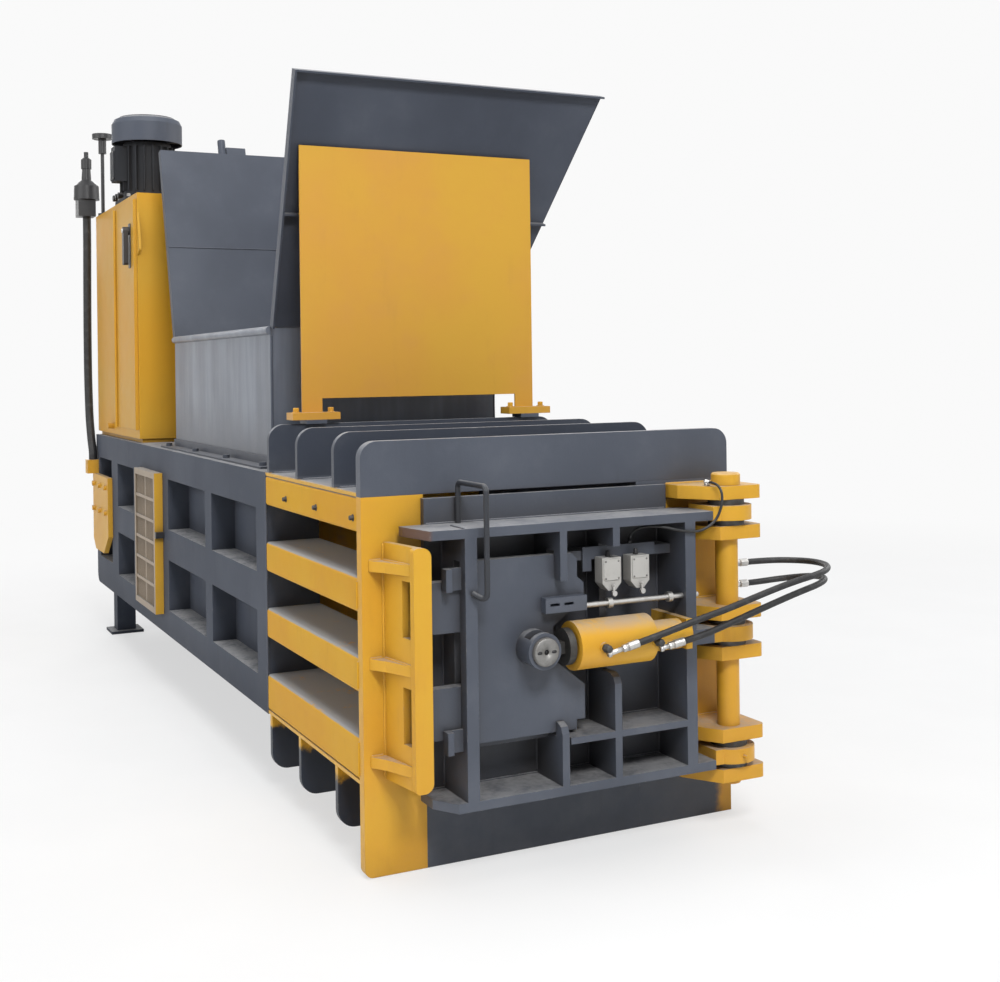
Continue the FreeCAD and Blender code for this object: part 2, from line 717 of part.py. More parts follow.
def make_body_sides():
    """Side walls of posts and rails, with a rear foot under each.

    Each window shows a sheet at the pocket's depth.
    """
    wall_low = D.floor_level - D.wall_drop
    for side, sign in (("left", -1), ("right", 1)):
        loops = [rectangle(body_rear, body_front, wall_low, roof_top)]
        rounds = [(body_rear, wall_low, D.rib_round)]
        for number, (near, wide) in enumerate(window_places(), 1):
            right = body_front - near
            for low, high in (tall_row,) if number == len(window_widths) else (low_row, high_row):
                loops.append(rectangle(right - wide, right, low, high))
        outer = sign * D.side_face
        inner = sign * liner_face
        pocket = sign * (D.side_face - D.pocket_depth)
        back = sign * (D.side_face - D.pocket_depth - D.shell_plate)
        if sign < 0:
            lattice = across_y(outer, inner, loops, rounds=rounds)
            sheet_back = across_y(pocket, back, [loops[0]], rounds=rounds)
        else:
            lattice = across_y(inner, outer, loops, rounds=rounds)
            sheet_back = across_y(back, pocket, [loops[0]], rounds=rounds)
        middle = sign * D.foot_half
        half = D.foot_post / 2
        wide = D.foot_pad / 2
        post = box(-D.foot_set - half, -D.foot_set + half, middle - half, middle + half,
                   0, wall_low)
        sole = box(-D.foot_set - wide, -D.foot_set + wide, middle - wide, middle + wide,
                   0, D.foot_pad_thick)
        node("body_side_" + side, fuse(lattice, sheet_back, post, sole))


# ---------------------------------------------------------------- hopper

def make_hopper_curb():
    """The angle curb round the lower hopper, with its bolts."""
    inner = rectangle(-D.hopper_rear + D.hopper_sheet, -D.hopper_front - D.hopper_sheet,
                      -D.hopper_left + D.hopper_sheet, D.hopper_right - D.hopper_sheet)
    wall = rectangle(-D.hopper_rear, -D.hopper_front, -D.hopper_left, D.hopper_right)
    face = rectangle(-D.hopper_rear - D.hopper_sheet, -D.hopper_front + D.hopper_sheet,
                     -D.hopper_left - D.hopper_sheet, D.hopper_right + D.hopper_sheet)
    reach = rectangle(-D.hopper_rear - D.curb_leg, -D.hopper_front + D.curb_leg,
                      -D.hopper_left - D.curb_leg, D.hopper_right + D.curb_leg)
    leg = across_z(roof_top, roof_top + D.hopper_sheet, [reach, inner])
    upright = across_z(roof_top, roof_top + D.curb_high, [face, wall])
    heads = []
    run = (D.hopper_rear - D.hopper_front) / 3
    line = D.hopper_left + D.curb_leg / 2 + D.hopper_sheet / 2
    far_line = D.hopper_right + D.curb_leg / 2 + D.hopper_sheet / 2
    for step in range(4):
        x = -D.hopper_front - step * run
        for y in (-line, far_line):
            heads.append(rod("z", x, y, roof_top + D.hopper_sheet, D.curb_bolt, D.curb_bolt))
    node("hopper_curb", fuse(leg, upright, *heads))


def make_hopper_box():
    """The lower hopper: four sheet walls, with a rolled sill on the feeding side."""
    base = roof_top + D.hopper_sheet
    outer = rectangle(-D.hopper_rear, -D.hopper_front, -D.hopper_left, D.hopper_right)
    inner = rectangle(-D.hopper_rear + D.hopper_sheet, -D.hopper_front - D.hopper_sheet,
                      -D.hopper_left + D.hopper_sheet, D.hopper_right - D.hopper_sheet)
    walls = across_z(base, D.hopper_sill, [outer, inner])
    roll = rod("x", -D.hopper_rear, -D.hopper_left, D.hopper_sill - D.lip_round, D.lip_round,
               D.hopper_rear - D.hopper_front)
    node("hopper_box", fuse(walls, roll))


def leaning_panel(x, rise, lean, facing, top_lip):
    """A flat panel on a folded edge, leaning away from the hopper's mouth.

    facing is +1 for the front panel and -1 for the rear one.
    """
    angle = math.degrees(math.atan2(float(lean), float(rise)))
    slant = math.hypot(float(rise), float(lean))
    grow = slant / float(rise)
    seam = D.hopper_seam * grow
    top_right = D.hopper_right + D.side_flare * (rise / D.front_rise)
    seam_right = D.hopper_right + D.side_flare * (D.hopper_seam / D.front_rise)
    thick = D.hopper_sheet
    near, far = (0, thick) if facing > 0 else (-thick, 0)
    outline = [(-D.hopper_left, 0), (D.hopper_right, 0), (seam_right, seam),
               (top_right, slant), (-D.hopper_left, slant)]
    face = across_x(near, far, [outline])
    flange_near, flange_far = (0, D.edge_flange) if facing > 0 else (-D.edge_flange, 0)
    edge = box(flange_near, flange_far, -D.hopper_left, -D.hopper_left + thick, 0, slant)
    ledge = box(flange_near, flange_far, -D.hopper_left, seam_right, seam - thick / 2, seam + thick / 2)
    lip = box(flange_near, flange_far, -D.hopper_left, top_right, slant - thick, slant)
    pieces = [face, edge, ledge, lip]
    if top_lip:
        eye = rod("z", -D.edge_flange / 2, -D.hopper_left / 3, slant, D.edge_flange / 2,
                  2 * D.edge_flange)
        arm = box(-D.edge_flange, -thick, -D.hopper_left / 3 + D.edge_flange / 2,
                  -D.hopper_left / 6 + D.edge_flange, slant, slant + D.edge_flange)
        pieces += [eye, arm]
    panel = fuse(*pieces)
    turn = FreeCAD.Rotation(FreeCAD.Vector(0, 1, 0), facing * angle)
    return place(panel, x, 0, D.hopper_sill, turn)


def make_hopper_panels():
    """Front, rear and side panels that lean out over the lower hopper."""
    node("hopper_front_panel",
         leaning_panel(-D.hopper_front, D.front_rise, D.front_lean, 1, False))
    node("hopper_rear_panel",
         leaning_panel(-D.hopper_rear, D.rear_rise, D.rear_lean, -1, True))
    rise = D.front_rise
    angle = math.degrees(math.atan2(float(D.side_flare), float(rise)))
    slant = math.hypot(float(rise), float(D.side_flare))
    rear_lean = D.rear_lean * (rise / D.rear_rise)
    outline = [(-D.hopper_rear, 0), (-D.hopper_front, 0), (-D.hopper_front + D.front_lean, slant),
               (-D.hopper_rear - rear_lean, slant)]
    side = across_y(0, D.hopper_sheet, [outline])
    turn = FreeCAD.Rotation(FreeCAD.Vector(1, 0, 0), -angle)
    node("hopper_side_panel", place(side, 0, D.hopper_right, D.hopper_sill, turn))


def make_hopper_guard():
    """A plate before the hopper on two legs, whose feet stand on the nearest cross rib."""
    rib_face = rib_places()[2]
    seat = D.roof_level + D.rib_rise
    foot_low = seat + D.guard_pad
    foot_top = foot_low + D.guard_foot_thick
    middle = rib_face - D.rib_thick / 2
    plate_x = middle - D.guard_leg / 4
    pieces = [across_x(plate_x, plate_x + D.guard_sheet,
                       [rectangle(-D.guard_left, D.guard_right, D.guard_sill, D.guard_top)])]
    for edge, inward in ((-D.guard_left, 1), (D.guard_right, -1)):
        heart = edge + inward * D.guard_leg / 2
        pieces.append(box(plate_x, plate_x + D.guard_sheet, heart - D.guard_leg / 2,
                          heart + D.guard_leg / 2, foot_top, D.guard_sill))
        pieces.append(box(plate_x - D.guard_web, plate_x, heart - D.guard_sheet / 2,
                          heart + D.guard_sheet / 2, foot_top, D.guard_top - D.guard_brace))
        pieces.append(box(middle - D.guard_leg / 2, middle + D.guard_leg / 2,
                          heart - D.guard_foot / 2, heart + D.guard_foot / 2, foot_low, foot_top))
        pieces.append(box(middle - D.guard_leg / 2, middle + D.guard_leg / 2,
                          heart - D.guard_leg / 2, heart + D.guard_leg / 2, seat, foot_low))
    node("hopper_guard", fuse(*pieces))


# ---------------------------------------------------------------- lock keeper and hinge

plate_face = D.plate_back + D.plate_thick


def make_keeper():
    """The keeper on the left post: a front plate on a web and three gussets.

    The lock fingers pass behind the front plate and through the web's two slots.
    """
    back = D.keep_reach - D.keep_thick
    face = across_x(back, D.keep_reach,
                    [rectangle(-D.keep_left, -D.keep_right, D.keep_low, D.keep_top)],
                    rounds=[(-D.keep_left, D.keep_top, D.keep_thick / 2),
                            (-D.keep_right, D.keep_top, D.keep_thick),
                            (-D.keep_left, D.keep_low, D.keep_thick / 2),
                            (-D.keep_right, D.keep_low, D.keep_thick)])
    plan = [(0, -D.web_root), (back, -D.web_end), (back, -D.web_end + D.web_thick),
            (0, -D.web_root + D.web_thick)]
    web = across_z(D.keep_low, D.keep_top, [plan])
    slots = [box(D.plate_back - D.finger_play, plate_face + D.finger_play,
                 -D.web_root - D.web_thick, -D.web_end + 2 * D.web_thick,
                 low - D.finger_play, low + D.finger_width + D.finger_play)
             for low in (D.finger_low, D.finger_high)]
    outline = [(0, -D.keep_root), (back / 3, -(D.keep_root + D.web_end + D.web_thick / 2) / 2),
               (back, -D.web_end), (back, -D.keep_right), (0, -D.keep_right)]
    gussets = [across_z(middle - D.gusset_thick / 2, middle + D.gusset_thick / 2, [outline])
               for middle in (D.gusset_low, D.gusset_mid, D.gusset_high)]
    node("lock_keeper", cut(fuse(face, web, *gussets), *slots))


KNUCKLES = (D.knuckle_low, D.knuckle_mid, D.knuckle_high)
half_knuckle = D.knuckle_thick / 2
pin_top = D.knuckle_high + half_knuckle + D.lug_gap + D.lug_thick
pin_low = D.knuckle_low - half_knuckle - D.lug_gap - D.lug_thick


def make_hinge():
    """Six lugs on the frame, one long pin through them, and washers round the knuckles."""
    pin_radius = D.hinge_pin / 2
    bore = pin_radius + D.hinge_play
    start = D.door_right + D.lug_gap / 2
    plan = [(0, start), (D.hinge_x / 2, start + D.door_gap * 4),
            (D.door_depth, D.hinge_y - D.knuckle_round + 20), (D.door_depth, D.frame_right),
            (0, D.frame_right)]
    lugs = []
    washers = []
    for middle in KNUCKLES:
        for side in (-1, 1):
            near = middle + side * (half_knuckle + D.lug_gap)
            far = near + side * D.lug_thick
            low, high = (near, far) if side > 0 else (far, near)
            lugs.append(across_z(low, high, [plan], circles=[(D.hinge_x, D.hinge_y, bore)],
                                 rounds=[(D.door_depth, D.frame_right, D.lug_thick / 2)]))
            gap_low = middle + half_knuckle if side > 0 else middle - half_knuckle - D.lug_gap
            washers.append(across_z(
                gap_low + D.washer_play, gap_low + D.lug_gap - D.washer_play, [],
                circles=[(D.hinge_x, D.hinge_y, bore), (D.hinge_x, D.hinge_y, D.hinge_pin * 0.8)]))
    node("hinge_lugs", group(*lugs))
    node("thrust_washers", group(*washers))
    head = D.hinge_pin * 0.64
    end = D.rib_round / 4
    profile = [(0, pin_low - end), (pin_radius, pin_low - end), (pin_radius, pin_top + D.washer_play),
               (head, pin_top + D.washer_play), (head, pin_top + D.pin_head - end / 3),
               (head - end / 3, pin_top + D.pin_head), (0, pin_top + D.pin_head)]
    node("hinge_pin", turned("z", D.hinge_x, D.hinge_y, 0, profile))


# ---------------------------------------------------------------- power housing

def make_power_housing():
    """The yellow housing over the rear: closed, with an electrical bay behind its door."""
    base = roof_top + D.plinth_high
    block = box(-D.house_rear, -D.house_front, -D.house_left, D.house_right, base, D.house_top)
    plinth = box(-D.house_rear + D.plinth_inset, -D.house_front - D.plinth_inset,
                 -D.house_left + D.plinth_inset, D.house_right - D.plinth_inset, roof_top, base)
    bay = box(-D.bay_rear + D.bay_margin, -D.house_front - D.bay_margin,
              -D.house_left - D.house_sheet, -D.house_left + D.bay_depth,
              roof_top + 2 * D.bay_margin, D.house_top - D.bay_margin)
    drain = rod("y", -D.house_rear + D.bay_depth * 2, -D.house_left - D.bay_margin / 2,
                roof_top + D.bay_margin, D.bay_margin / 4, D.bay_margin / 2)
    lug_low = D.lug_top - D.lug_length
    lug = across_y(-D.house_left, -D.house_left + D.lug_sheet, [[
        (-D.house_front, D.lug_top), (-D.house_front, lug_low),
        (-D.house_front + D.lug_reach, lug_low + D.lug_reach / 2)]])
    node("power_housing", fuse(cut(block, bay), plinth, drain, lug))


hinge_house_x = -D.bay_rear + D.bay_margin / 4
hinge_house_y = -D.house_left - D.house_sheet * 2


def make_housing_door():
    """Door of the electrical bay, on a rolled hinge edge, with its lever handle."""
    play = D.washer_play
    low = roof_top + D.bay_margin
    high = D.house_top - D.bay_margin / 2
    free_edge = -D.house_front - D.bay_margin / 4
    leaf = box(hinge_house_x, free_edge, -D.house_left - D.house_sheet - play,
               -D.house_left - play, low, high)
    roll = rod("z", hinge_house_x, hinge_house_y, low, D.house_sheet * 1.5, high - low)
    edge = box(free_edge - D.house_sheet, free_edge, -D.house_left - D.house_sheet * 3 - play,
               -D.house_left - D.house_sheet - play, low, high)
    node("housing_door", fuse(leaf, roll, edge))
    spindle_y = -D.house_left - D.house_sheet - 2 * play
    heart = -D.house_front - D.lever_set
    half = D.lever_wide / 2
    low = D.lever_level - D.lever_drop
    boss = rod("y", heart, spindle_y - D.lever_proud, D.lever_level, half, D.lever_proud)
    lever = across_y(
        spindle_y - D.lever_proud, spindle_y - D.lever_proud / 3,
        [rectangle(heart - half, heart + half, low, D.lever_level)],
        rounds=[(heart - half, low, half / 2), (heart + half, low, half / 2)])
    node("door_lever", fuse(boss, lever))


FIN_COUNT = 20
BLADE_COUNT = 7


def make_motor():
    """The upright motor: finned body on a square flange, a fan under its cowl."""
    x = -D.motor_x
    y = -D.motor_y
    foot = D.house_top + D.motor_fin
    top = D.house_top + D.motor_length
    bore = D.shaft_radius + D.hinge_play
    flange = across_z(D.house_top, foot, [rectangle(x - D.motor_radius, x + D.motor_radius,
                                                    y - D.motor_radius, y + D.motor_radius)])
    core = rod("z", x, y, foot, D.motor_radius - D.motor_fin, D.motor_length - D.motor_fin)
    fins = []
    for step in range(FIN_COUNT):
        fins.append(spoke(x, y, foot + D.motor_fin * 2, D.shaft_radius * 2, D.motor_radius,
                          D.motor_fin / 3, D.motor_length - D.motor_fin * 4, 360 * step / FIN_COUNT))
    terminal = box(x - D.terminal_wide / 2, x + D.terminal_wide / 2,
                   y - D.motor_radius - D.terminal_wide / 3, y - D.motor_radius / 2,
                   D.terminal_low, top - D.motor_fin)
    hollow = rod("z", x, y, D.house_top + D.motor_fin, bore, D.motor_length)
    node("motor_body", cut(fuse(flange, core, terminal, *fins), hollow))
    wall = D.cowl_radius - D.cowl_sheet
    vent = D.cowl_radius * 0.62
    inner_top = D.cowl_length - D.cowl_sheet
    bend = D.cowl_shoulder
    profile = [(vent, inner_top), (wall - bend, inner_top), (wall - bend / 3, inner_top - bend / 3),
               (wall, inner_top - bend), (wall, 0), (D.cowl_radius, 0),
               (D.cowl_radius, D.cowl_length - bend),
               (D.cowl_radius - bend / 3, D.cowl_length - bend / 3),
               (D.cowl_radius - bend, D.cowl_length), (vent, D.cowl_length)]
    shell = turned("z", x, y, top, profile)
    bars = []
    stays = []
    for step in range(4):
        bars.append(spoke(x, y, top + D.cowl_length - D.cowl_sheet, -vent - D.cowl_sheet,
                          vent + D.cowl_sheet, 2 * D.cowl_sheet, D.cowl_sheet, 45 * step))
        stays.append(spoke(x, y, top, D.motor_radius - D.motor_fin * 2, wall + D.cowl_sheet / 2,
                           2 * D.cowl_sheet, 2 * D.cowl_sheet, 45 + 90 * step))
    node("fan_cowl", fuse(shell, *bars, *stays))
    shaft_low = D.house_top + D.motor_fin + D.hinge_play * 4
    shaft = rod("z", x, y, shaft_low, D.shaft_radius,
                top + D.cowl_length * 0.8 - shaft_low)
    hub = rod("z", x, y, top + D.cowl_length * 0.4, D.shaft_radius * 2, D.cowl_length * 0.35)
    blades = []
    for step in range(BLADE_COUNT):
        blades.append(spoke(x, y, top + D.cowl_length * 0.4, D.shaft_radius, wall * 0.9,
                            D.cowl_sheet, D.cowl_length * 0.35, 360 * step / BLADE_COUNT))
    node("motor_rotor", fuse(shaft, hub, *blades))


PRESSURE_LINE = [(-4850, -640, 2586), (-4850, -640, 2430), (-4862, -641, 2160), (-4872, -642, 1840),
                 (-4868, -642, 1540), (-4840, -641, 1300), (-4780, -640, 1160), (-4736, -640, 1100),
                 (-4736, -640, 1050)]


def make_hydraulics():
    """Valve block and filler on the housing, and the tall valve with its line at the rear."""
    top = D.house_top
    coil_low = top + D.valve_high
    block = box(-D.valve_rear, -D.valve_front, -D.valve_left, -D.valve_right, top, coil_low)
    coils = []
    for step in range(3):
        x = -D.valve_rear + D.coil_wide * 0.8 + step * D.coil_pitch
        coils.append(box(x, x + D.coil_wide, -D.valve_left + D.coil_wide / 5,
                         -D.valve_right - D.coil_wide / 5, coil_low, coil_low + D.coil_high))
        coils.append(rod("y", x + D.coil_wide / 2, -D.valve_left - D.coil_wide,
                         coil_low + D.coil_high / 2, D.coil_high * 0.4, D.coil_wide * 1.2))
    node("valve_block", fuse(block, *coils))
    cup_low = D.filler_high - D.filler_cap * 2
    cap_low = D.filler_high - D.filler_cap / 2
    foot_high = D.filler_foot / 2
    profile = [(0, 0), (D.filler_foot, 0), (D.filler_foot, foot_high), (D.filler_stem, foot_high),
               (D.filler_stem, cup_low), (D.filler_cup, cup_low), (D.filler_cup, cap_low),
               (D.filler_cap, cap_low), (D.filler_cap, D.filler_high), (0, D.filler_high)]
    node("filler_breather", turned("z", -D.filler_x, -D.filler_y, top, profile))
    tall = box(-D.prefill_x - D.prefill_half, -D.house_rear, -D.line_y - D.prefill_half,
               -D.house_left, D.prefill_low, D.prefill_low + D.prefill_high)
    bowl_top = D.prefill_bowl * 1.1
    shoulder = D.prefill_bowl * 1.6
    neck_top = D.prefill_bowl * 2.5
    cap_top = D.prefill_bowl * 3.25
    tip_top = D.prefill_bowl * 3.85
    bottle = turned("z", -D.prefill_x, -D.line_y, D.prefill_low + D.prefill_high, [
        (0, 0), (D.prefill_bowl, 0), (D.prefill_bowl * 0.96, bowl_top),
        (D.prefill_neck * 1.15, shoulder), (D.prefill_neck, neck_top), (D.prefill_cap, neck_top),
        (D.prefill_cap, cap_top), (D.prefill_tip, cap_top + D.prefill_tip), (D.prefill_tip, tip_top),
        (0, tip_top)])
    node("prefill_valve", fuse(tall, bottle))
    node("pressure_line", tube("pressure_line", PRESSURE_LINE, 2 * D.line_radius))


# ---------------------------------------------------------------- main cylinder and ram

main_axis = (D.floor_level + D.roof_level) / 2
rear_inner = body_rear + D.shell_plate


def make_press():
    """The main cylinder on the rear plate, its rod, and the box-shaped ram it pushes."""
    bore = D.main_rod + D.fit_play
    reach = -D.main_front - rear_inner
    barrel = rod("x", rear_inner, 0, main_axis, D.main_radius, reach)
    gland = rod("x", -D.main_front - D.main_rod, 0, main_axis, D.main_radius + D.main_rod / 3,
                D.main_rod)
    flange = rod("x", rear_inner, 0, main_axis, D.main_radius * 1.5, D.main_rod)
    hollow = rod("x", rear_inner + D.main_rod, 0, main_axis, bore, reach)
    node("main_cylinder", cut(fuse(barrel, gland, flange), hollow))
    face = -D.press_face
    nose_back = face - D.press_nose
    rod_end = rear_inner + D.main_rod + D.press_play + D.press_stroke
    node("ram_rod", rod("x", rod_end, 0, main_axis, D.main_rod, nose_back - rod_end))
    half = D.chamber_half - D.press_play
    low = D.floor_level + D.fit_play * 4
    high = D.roof_level - D.press_play
    nose = across_x(nose_back, face, [rectangle(-half, half, low, high)],
                    rounds=[(-half, high, D.press_play), (half, high, D.press_play)])
    skirt = across_x(face - D.press_length, nose_back,
                     [rectangle(-half, half, low, high),
                      rectangle(-half + D.press_plate, half - D.press_plate,
                                low + D.press_plate, high - D.press_plate)])
    node("press_ram", fuse(nose, skirt))


# ---------------------------------------------------------------- mesh door and anchors

mesh_back = -D.side_face - D.washer_play
mesh_face = mesh_back - D.mesh_proud
mesh_front = body_front - window_places()[2][0] + D.mesh_lap
mesh_rear = mesh_front - D.mesh_wide


def make_mesh_door():
    """The barred service door on the operator's side, with its hinges and catch."""
    rear = mesh_rear
    front = mesh_front
    bar = D.mesh_frame
    frame = across_y(mesh_face, mesh_back, [
        rectangle(rear, front, D.mesh_low, D.mesh_top),
        rectangle(rear + bar, front - bar, D.mesh_low + bar, D.mesh_top - bar)])
    depth = (mesh_face + D.mesh_proud * 0.15, mesh_face + D.mesh_proud * 0.35)
    slats = []
    slat_count = 20
    slat_run = (front - rear - 2 * bar) / slat_count
    for step in range(1, slat_count):
        x = rear + bar + step * slat_run
        wide = bar / 3 if step == slat_count // 2 else bar / 8
        slats.append(box(x - wide, x + wide, depth[0], depth[1], D.mesh_low + bar / 2,
                         D.mesh_top - bar / 2))
    rail_count = 6
    rail_run = (D.mesh_top - D.mesh_low - 2 * bar) / rail_count
    for step in range(1, rail_count):
        z = D.mesh_low + bar + step * rail_run
        slats.append(box(rear + bar / 2, front - bar / 2, mesh_face + D.mesh_proud * 0.05,
                         depth[0] + D.mesh_proud * 0.1, z - bar / 4, z + bar / 4))
    node("mesh_door", fuse(frame, *slats))
    pieces = []
    for z in (D.mesh_low, D.mesh_top - bar):
        pieces.append(fuse(rod("z", rear - bar / 2, mesh_back - bar / 3, z, bar / 3, bar),
                           box(rear - 2 * bar, rear - bar / 2, -D.side_face - bar / 6, -D.side_face,
                               z, z + bar)))
    middle = (D.mesh_low + D.mesh_top) / 2 + bar
    pieces.append(box(front + D.washer_play, front + bar, mesh_face, -D.side_face,
                      middle, middle + bar))
    node("mesh_door_fittings", group(*pieces))


def make_anchors():
    """Anchor plates of the main cylinder, bolted over the rear windows; one holds the line's port."""
    plates = []
    near = body_rear + D.anchor_set
    far = near + D.anchor_wide
    inset = D.anchor_bevel * 0.75
    outline = [(near, D.anchor_low + inset), (near + D.anchor_bevel, D.anchor_low),
               (far - D.anchor_bevel * 1.9, D.anchor_low), (far, D.anchor_low + D.anchor_bevel * 1.4),
               (far, D.anchor_top), (near, D.anchor_top)]
    for sign in (-1, 1):
        face = sign * D.side_face
        outer = sign * (D.side_face + D.anchor_thick)
        y0, y1 = (outer, face) if sign < 0 else (face, outer)
        plate = across_y(y0, y1, [outline])
        heads = []
        for x in (near + inset, near + D.anchor_wide / 2, far - inset):
            for z in (D.anchor_top - inset, (D.anchor_low + D.anchor_top) / 2 + inset / 3):
                start = outer - D.anchor_bolt if sign < 0 else outer
                heads.append(rod("y", x, start, z, D.anchor_bolt, D.anchor_bolt))
        plates.append(fuse(plate, *heads))
    bottom = PRESSURE_LINE[-1]
    reach = D.line_radius * 1.6
    port = box(bottom[0] - reach, bottom[0] + reach, -D.line_y - reach, -D.side_face,
               D.anchor_top, bottom[2])
    plates[0] = fuse(plates[0], port)
    node("anchor_plates", group(*plates))


# ---------------------------------------------------------------- discharge door

skin_back = 0 + D.door_gap
skin_face = skin_back + D.door_sheet
shelf_low_top = D.shelf_low + D.shelf_thick
shelf_high_low = D.shelf_top - D.shelf_thick
port_face = D.ram_front + D.barrel_radius + D.ferrule_radius / 2
web_start = D.hinge_y - D.knuckle_round - D.washer_play * 30


def make_door_skin():
    """The thick skin that closes the chamber's mouth."""
    skin = across_x(skin_back, skin_face,
                    [rectangle(-D.door_left, D.door_right, D.door_low, D.door_high)])
    node("door_skin", skin)


def make_door_frame():
    """Posts, ribs and shelves welded on the skin; the lock plate passes the left post."""
    low = shelf_low_top
    high = shelf_high_low
    left_post = cut(
        box(skin_face, D.door_depth, -D.post_left, -D.post_left + D.post_thick, low, high),
        box(D.plate_back - D.lock_play, plate_face + D.lock_play, -D.post_left - D.lock_play,
            -D.post_left + D.post_thick + D.lock_play, D.plate_low - D.lock_play,
            D.plate_top + D.lock_play))
    right_post = box(skin_face, D.door_depth, D.post_right, D.post_right + D.post_thick, low, high)
    bore = rod("y", D.trip_x, D.post_right - D.lock_play, D.trip_level,
               D.trip_radius + D.fit_play * 4, D.post_thick + 2 * D.lock_play)
    notch_back = D.plate_back - 2 * D.lock_play
    notch_front = plate_face + D.lock_play
    notch_low = D.plate_low - 4 * D.lock_play
    notch_high = D.plate_top + 4 * D.lock_play
    bend = D.lip_bend
    rib_outline = [
        (skin_face, low), (D.door_depth, low), (D.door_depth, D.lip_lower - bend),
        (D.door_depth - bend / 3, D.lip_lower - bend / 3), (D.door_depth - bend, D.lip_lower),
        (notch_front, D.lip_lower), (notch_front, notch_low), (notch_back, notch_low),
        (notch_back, notch_high), (notch_front, notch_high), (notch_front, D.lip_upper + bend / 2),
        (notch_front + bend / 3, D.lip_upper), (D.door_depth, D.lip_upper), (D.door_depth, high),
        (skin_face, high)]
    middle_rib = across_y(-D.rib_a, -D.rib_a + D.door_rib, [rib_outline])
    depth_behind = D.plate_back - 3 * D.lock_play
    recess_high = D.switch_top + D.post_thick
    second_rib = across_y(D.rib_b, D.rib_b + D.door_rib, [[
        (skin_face, low), (D.door_depth, low), (D.door_depth, D.brace_top - bend),
        (D.door_depth - bend / 3, D.brace_top - bend / 3), (D.door_depth - bend, D.brace_top),
        (depth_behind, D.brace_top), (depth_behind, recess_high), (D.door_depth, recess_high),
        (D.door_depth, high), (skin_face, high)]])
    stays = []
    for middle in (D.stay_low, D.stay_high):
        stays.append(across_z(middle - D.stay_long / 2, middle + D.stay_long / 2, [[
            (notch_front + D.lock_play, -D.post_left), (notch_front + D.lock_play, -D.post_left - D.stay_reach),
            (D.door_depth - D.lock_play, -D.post_left - D.stay_reach),
            (D.door_depth - D.lock_play, -D.post_left - D.stay_reach + D.stay_bar),
            (notch_front + 4 * D.lock_play, -D.post_left - D.stay_reach + D.stay_bar),
            (notch_front + 4 * D.lock_play, -D.post_left)]]))
    hinge_side = [(D.door_depth, web_start), (D.hinge_x - D.knuckle_round, web_start),
                  (skin_face, D.door_right)]
    shelf = [(skin_face, -D.shelf_left), (D.hinge_x - D.knuckle_round, -D.shelf_left),
             (D.door_depth, -D.shelf_left + D.shelf_thick)]
    upper = across_z(shelf_high_low, D.shelf_top, [shelf + hinge_side])
    base = [(skin_face, -D.base_left), (D.plate_back, -D.base_left),
            (D.door_depth, -D.post_left - D.shelf_thick)]
    lower = across_z(D.shelf_low, shelf_low_top, [base + hinge_side])
    cross_high = box(skin_face, depth_behind, -D.rib_a + D.door_rib,
                     D.post_right, D.cross_high, D.cross_high + D.cross_thick)
    cross_low = box(skin_face, D.door_depth, -D.rib_a + D.door_rib + 2 * D.lock_play, D.post_right,
                    D.cross_low - D.cross_thick / 4, D.plate_low - 4 * D.lock_play)
    band = box(skin_face, depth_behind, -D.post_left + D.post_thick, -D.rib_a, D.cross_low,
               D.plate_low + D.cross_thick * 2)
    arm = across_z(D.knuckle_mid - half_knuckle, D.knuckle_mid + half_knuckle, [[
        (skin_face, D.post_right + D.post_thick / 2), (D.door_depth, D.post_right + D.post_thick / 2)]
        + hinge_side])
    node("door_frame", fuse(left_post, cut(right_post, bore), middle_rib, second_rib, upper, lower,
                            cross_high, cross_low, band, arm, *stays))


def make_knuckles():
    """Three knuckles that carry the door on the hinge pin."""
    bore = D.hinge_pin / 2 + D.hinge_play
    pieces = []
    for middle in KNUCKLES:
        low = middle - half_knuckle
        eye = rod("z", D.hinge_x, D.hinge_y, low, D.knuckle_round, D.knuckle_thick)
        web = box(D.hinge_x - D.knuckle_round, D.door_depth, web_start, D.hinge_y, low,
                  low + D.knuckle_thick)
        hole = rod("z", D.hinge_x, D.hinge_y, low - D.lock_play, bore,
                   D.knuckle_thick + 2 * D.lock_play)
        pieces.append(cut(fuse(eye, web), hole))
    nipple = rod("x", D.hinge_x + D.knuckle_round - D.lock_play, D.hinge_y, D.knuckle_low, D.lock_play * 2,
                 D.post_thick / 2)
    pieces[0] = fuse(pieces[0], nipple)
    node("door_knuckles", group(*pieces))


def make_door_handle():
    """The bent bar that the door is pulled by: shelf, out, down and back to the post."""
    y = -D.grip_y
    foot = skin_face + D.grip_radius * 1.5
    front = D.door_depth + D.grip_reach
    high = D.shelf_top + D.grip_rise
    low = high - D.grip_drop
    route = [(foot, y, D.shelf_top), (foot, y, high), (front, y, high), (front, y, low),
             (D.door_depth + D.grip_radius * 0.75, -D.post_left + D.post_thick / 2,
              low + D.grip_reach / 2)]
    node("door_handle", tube("door_handle", route, 2 * D.grip_radius, 2.2 * D.grip_radius))


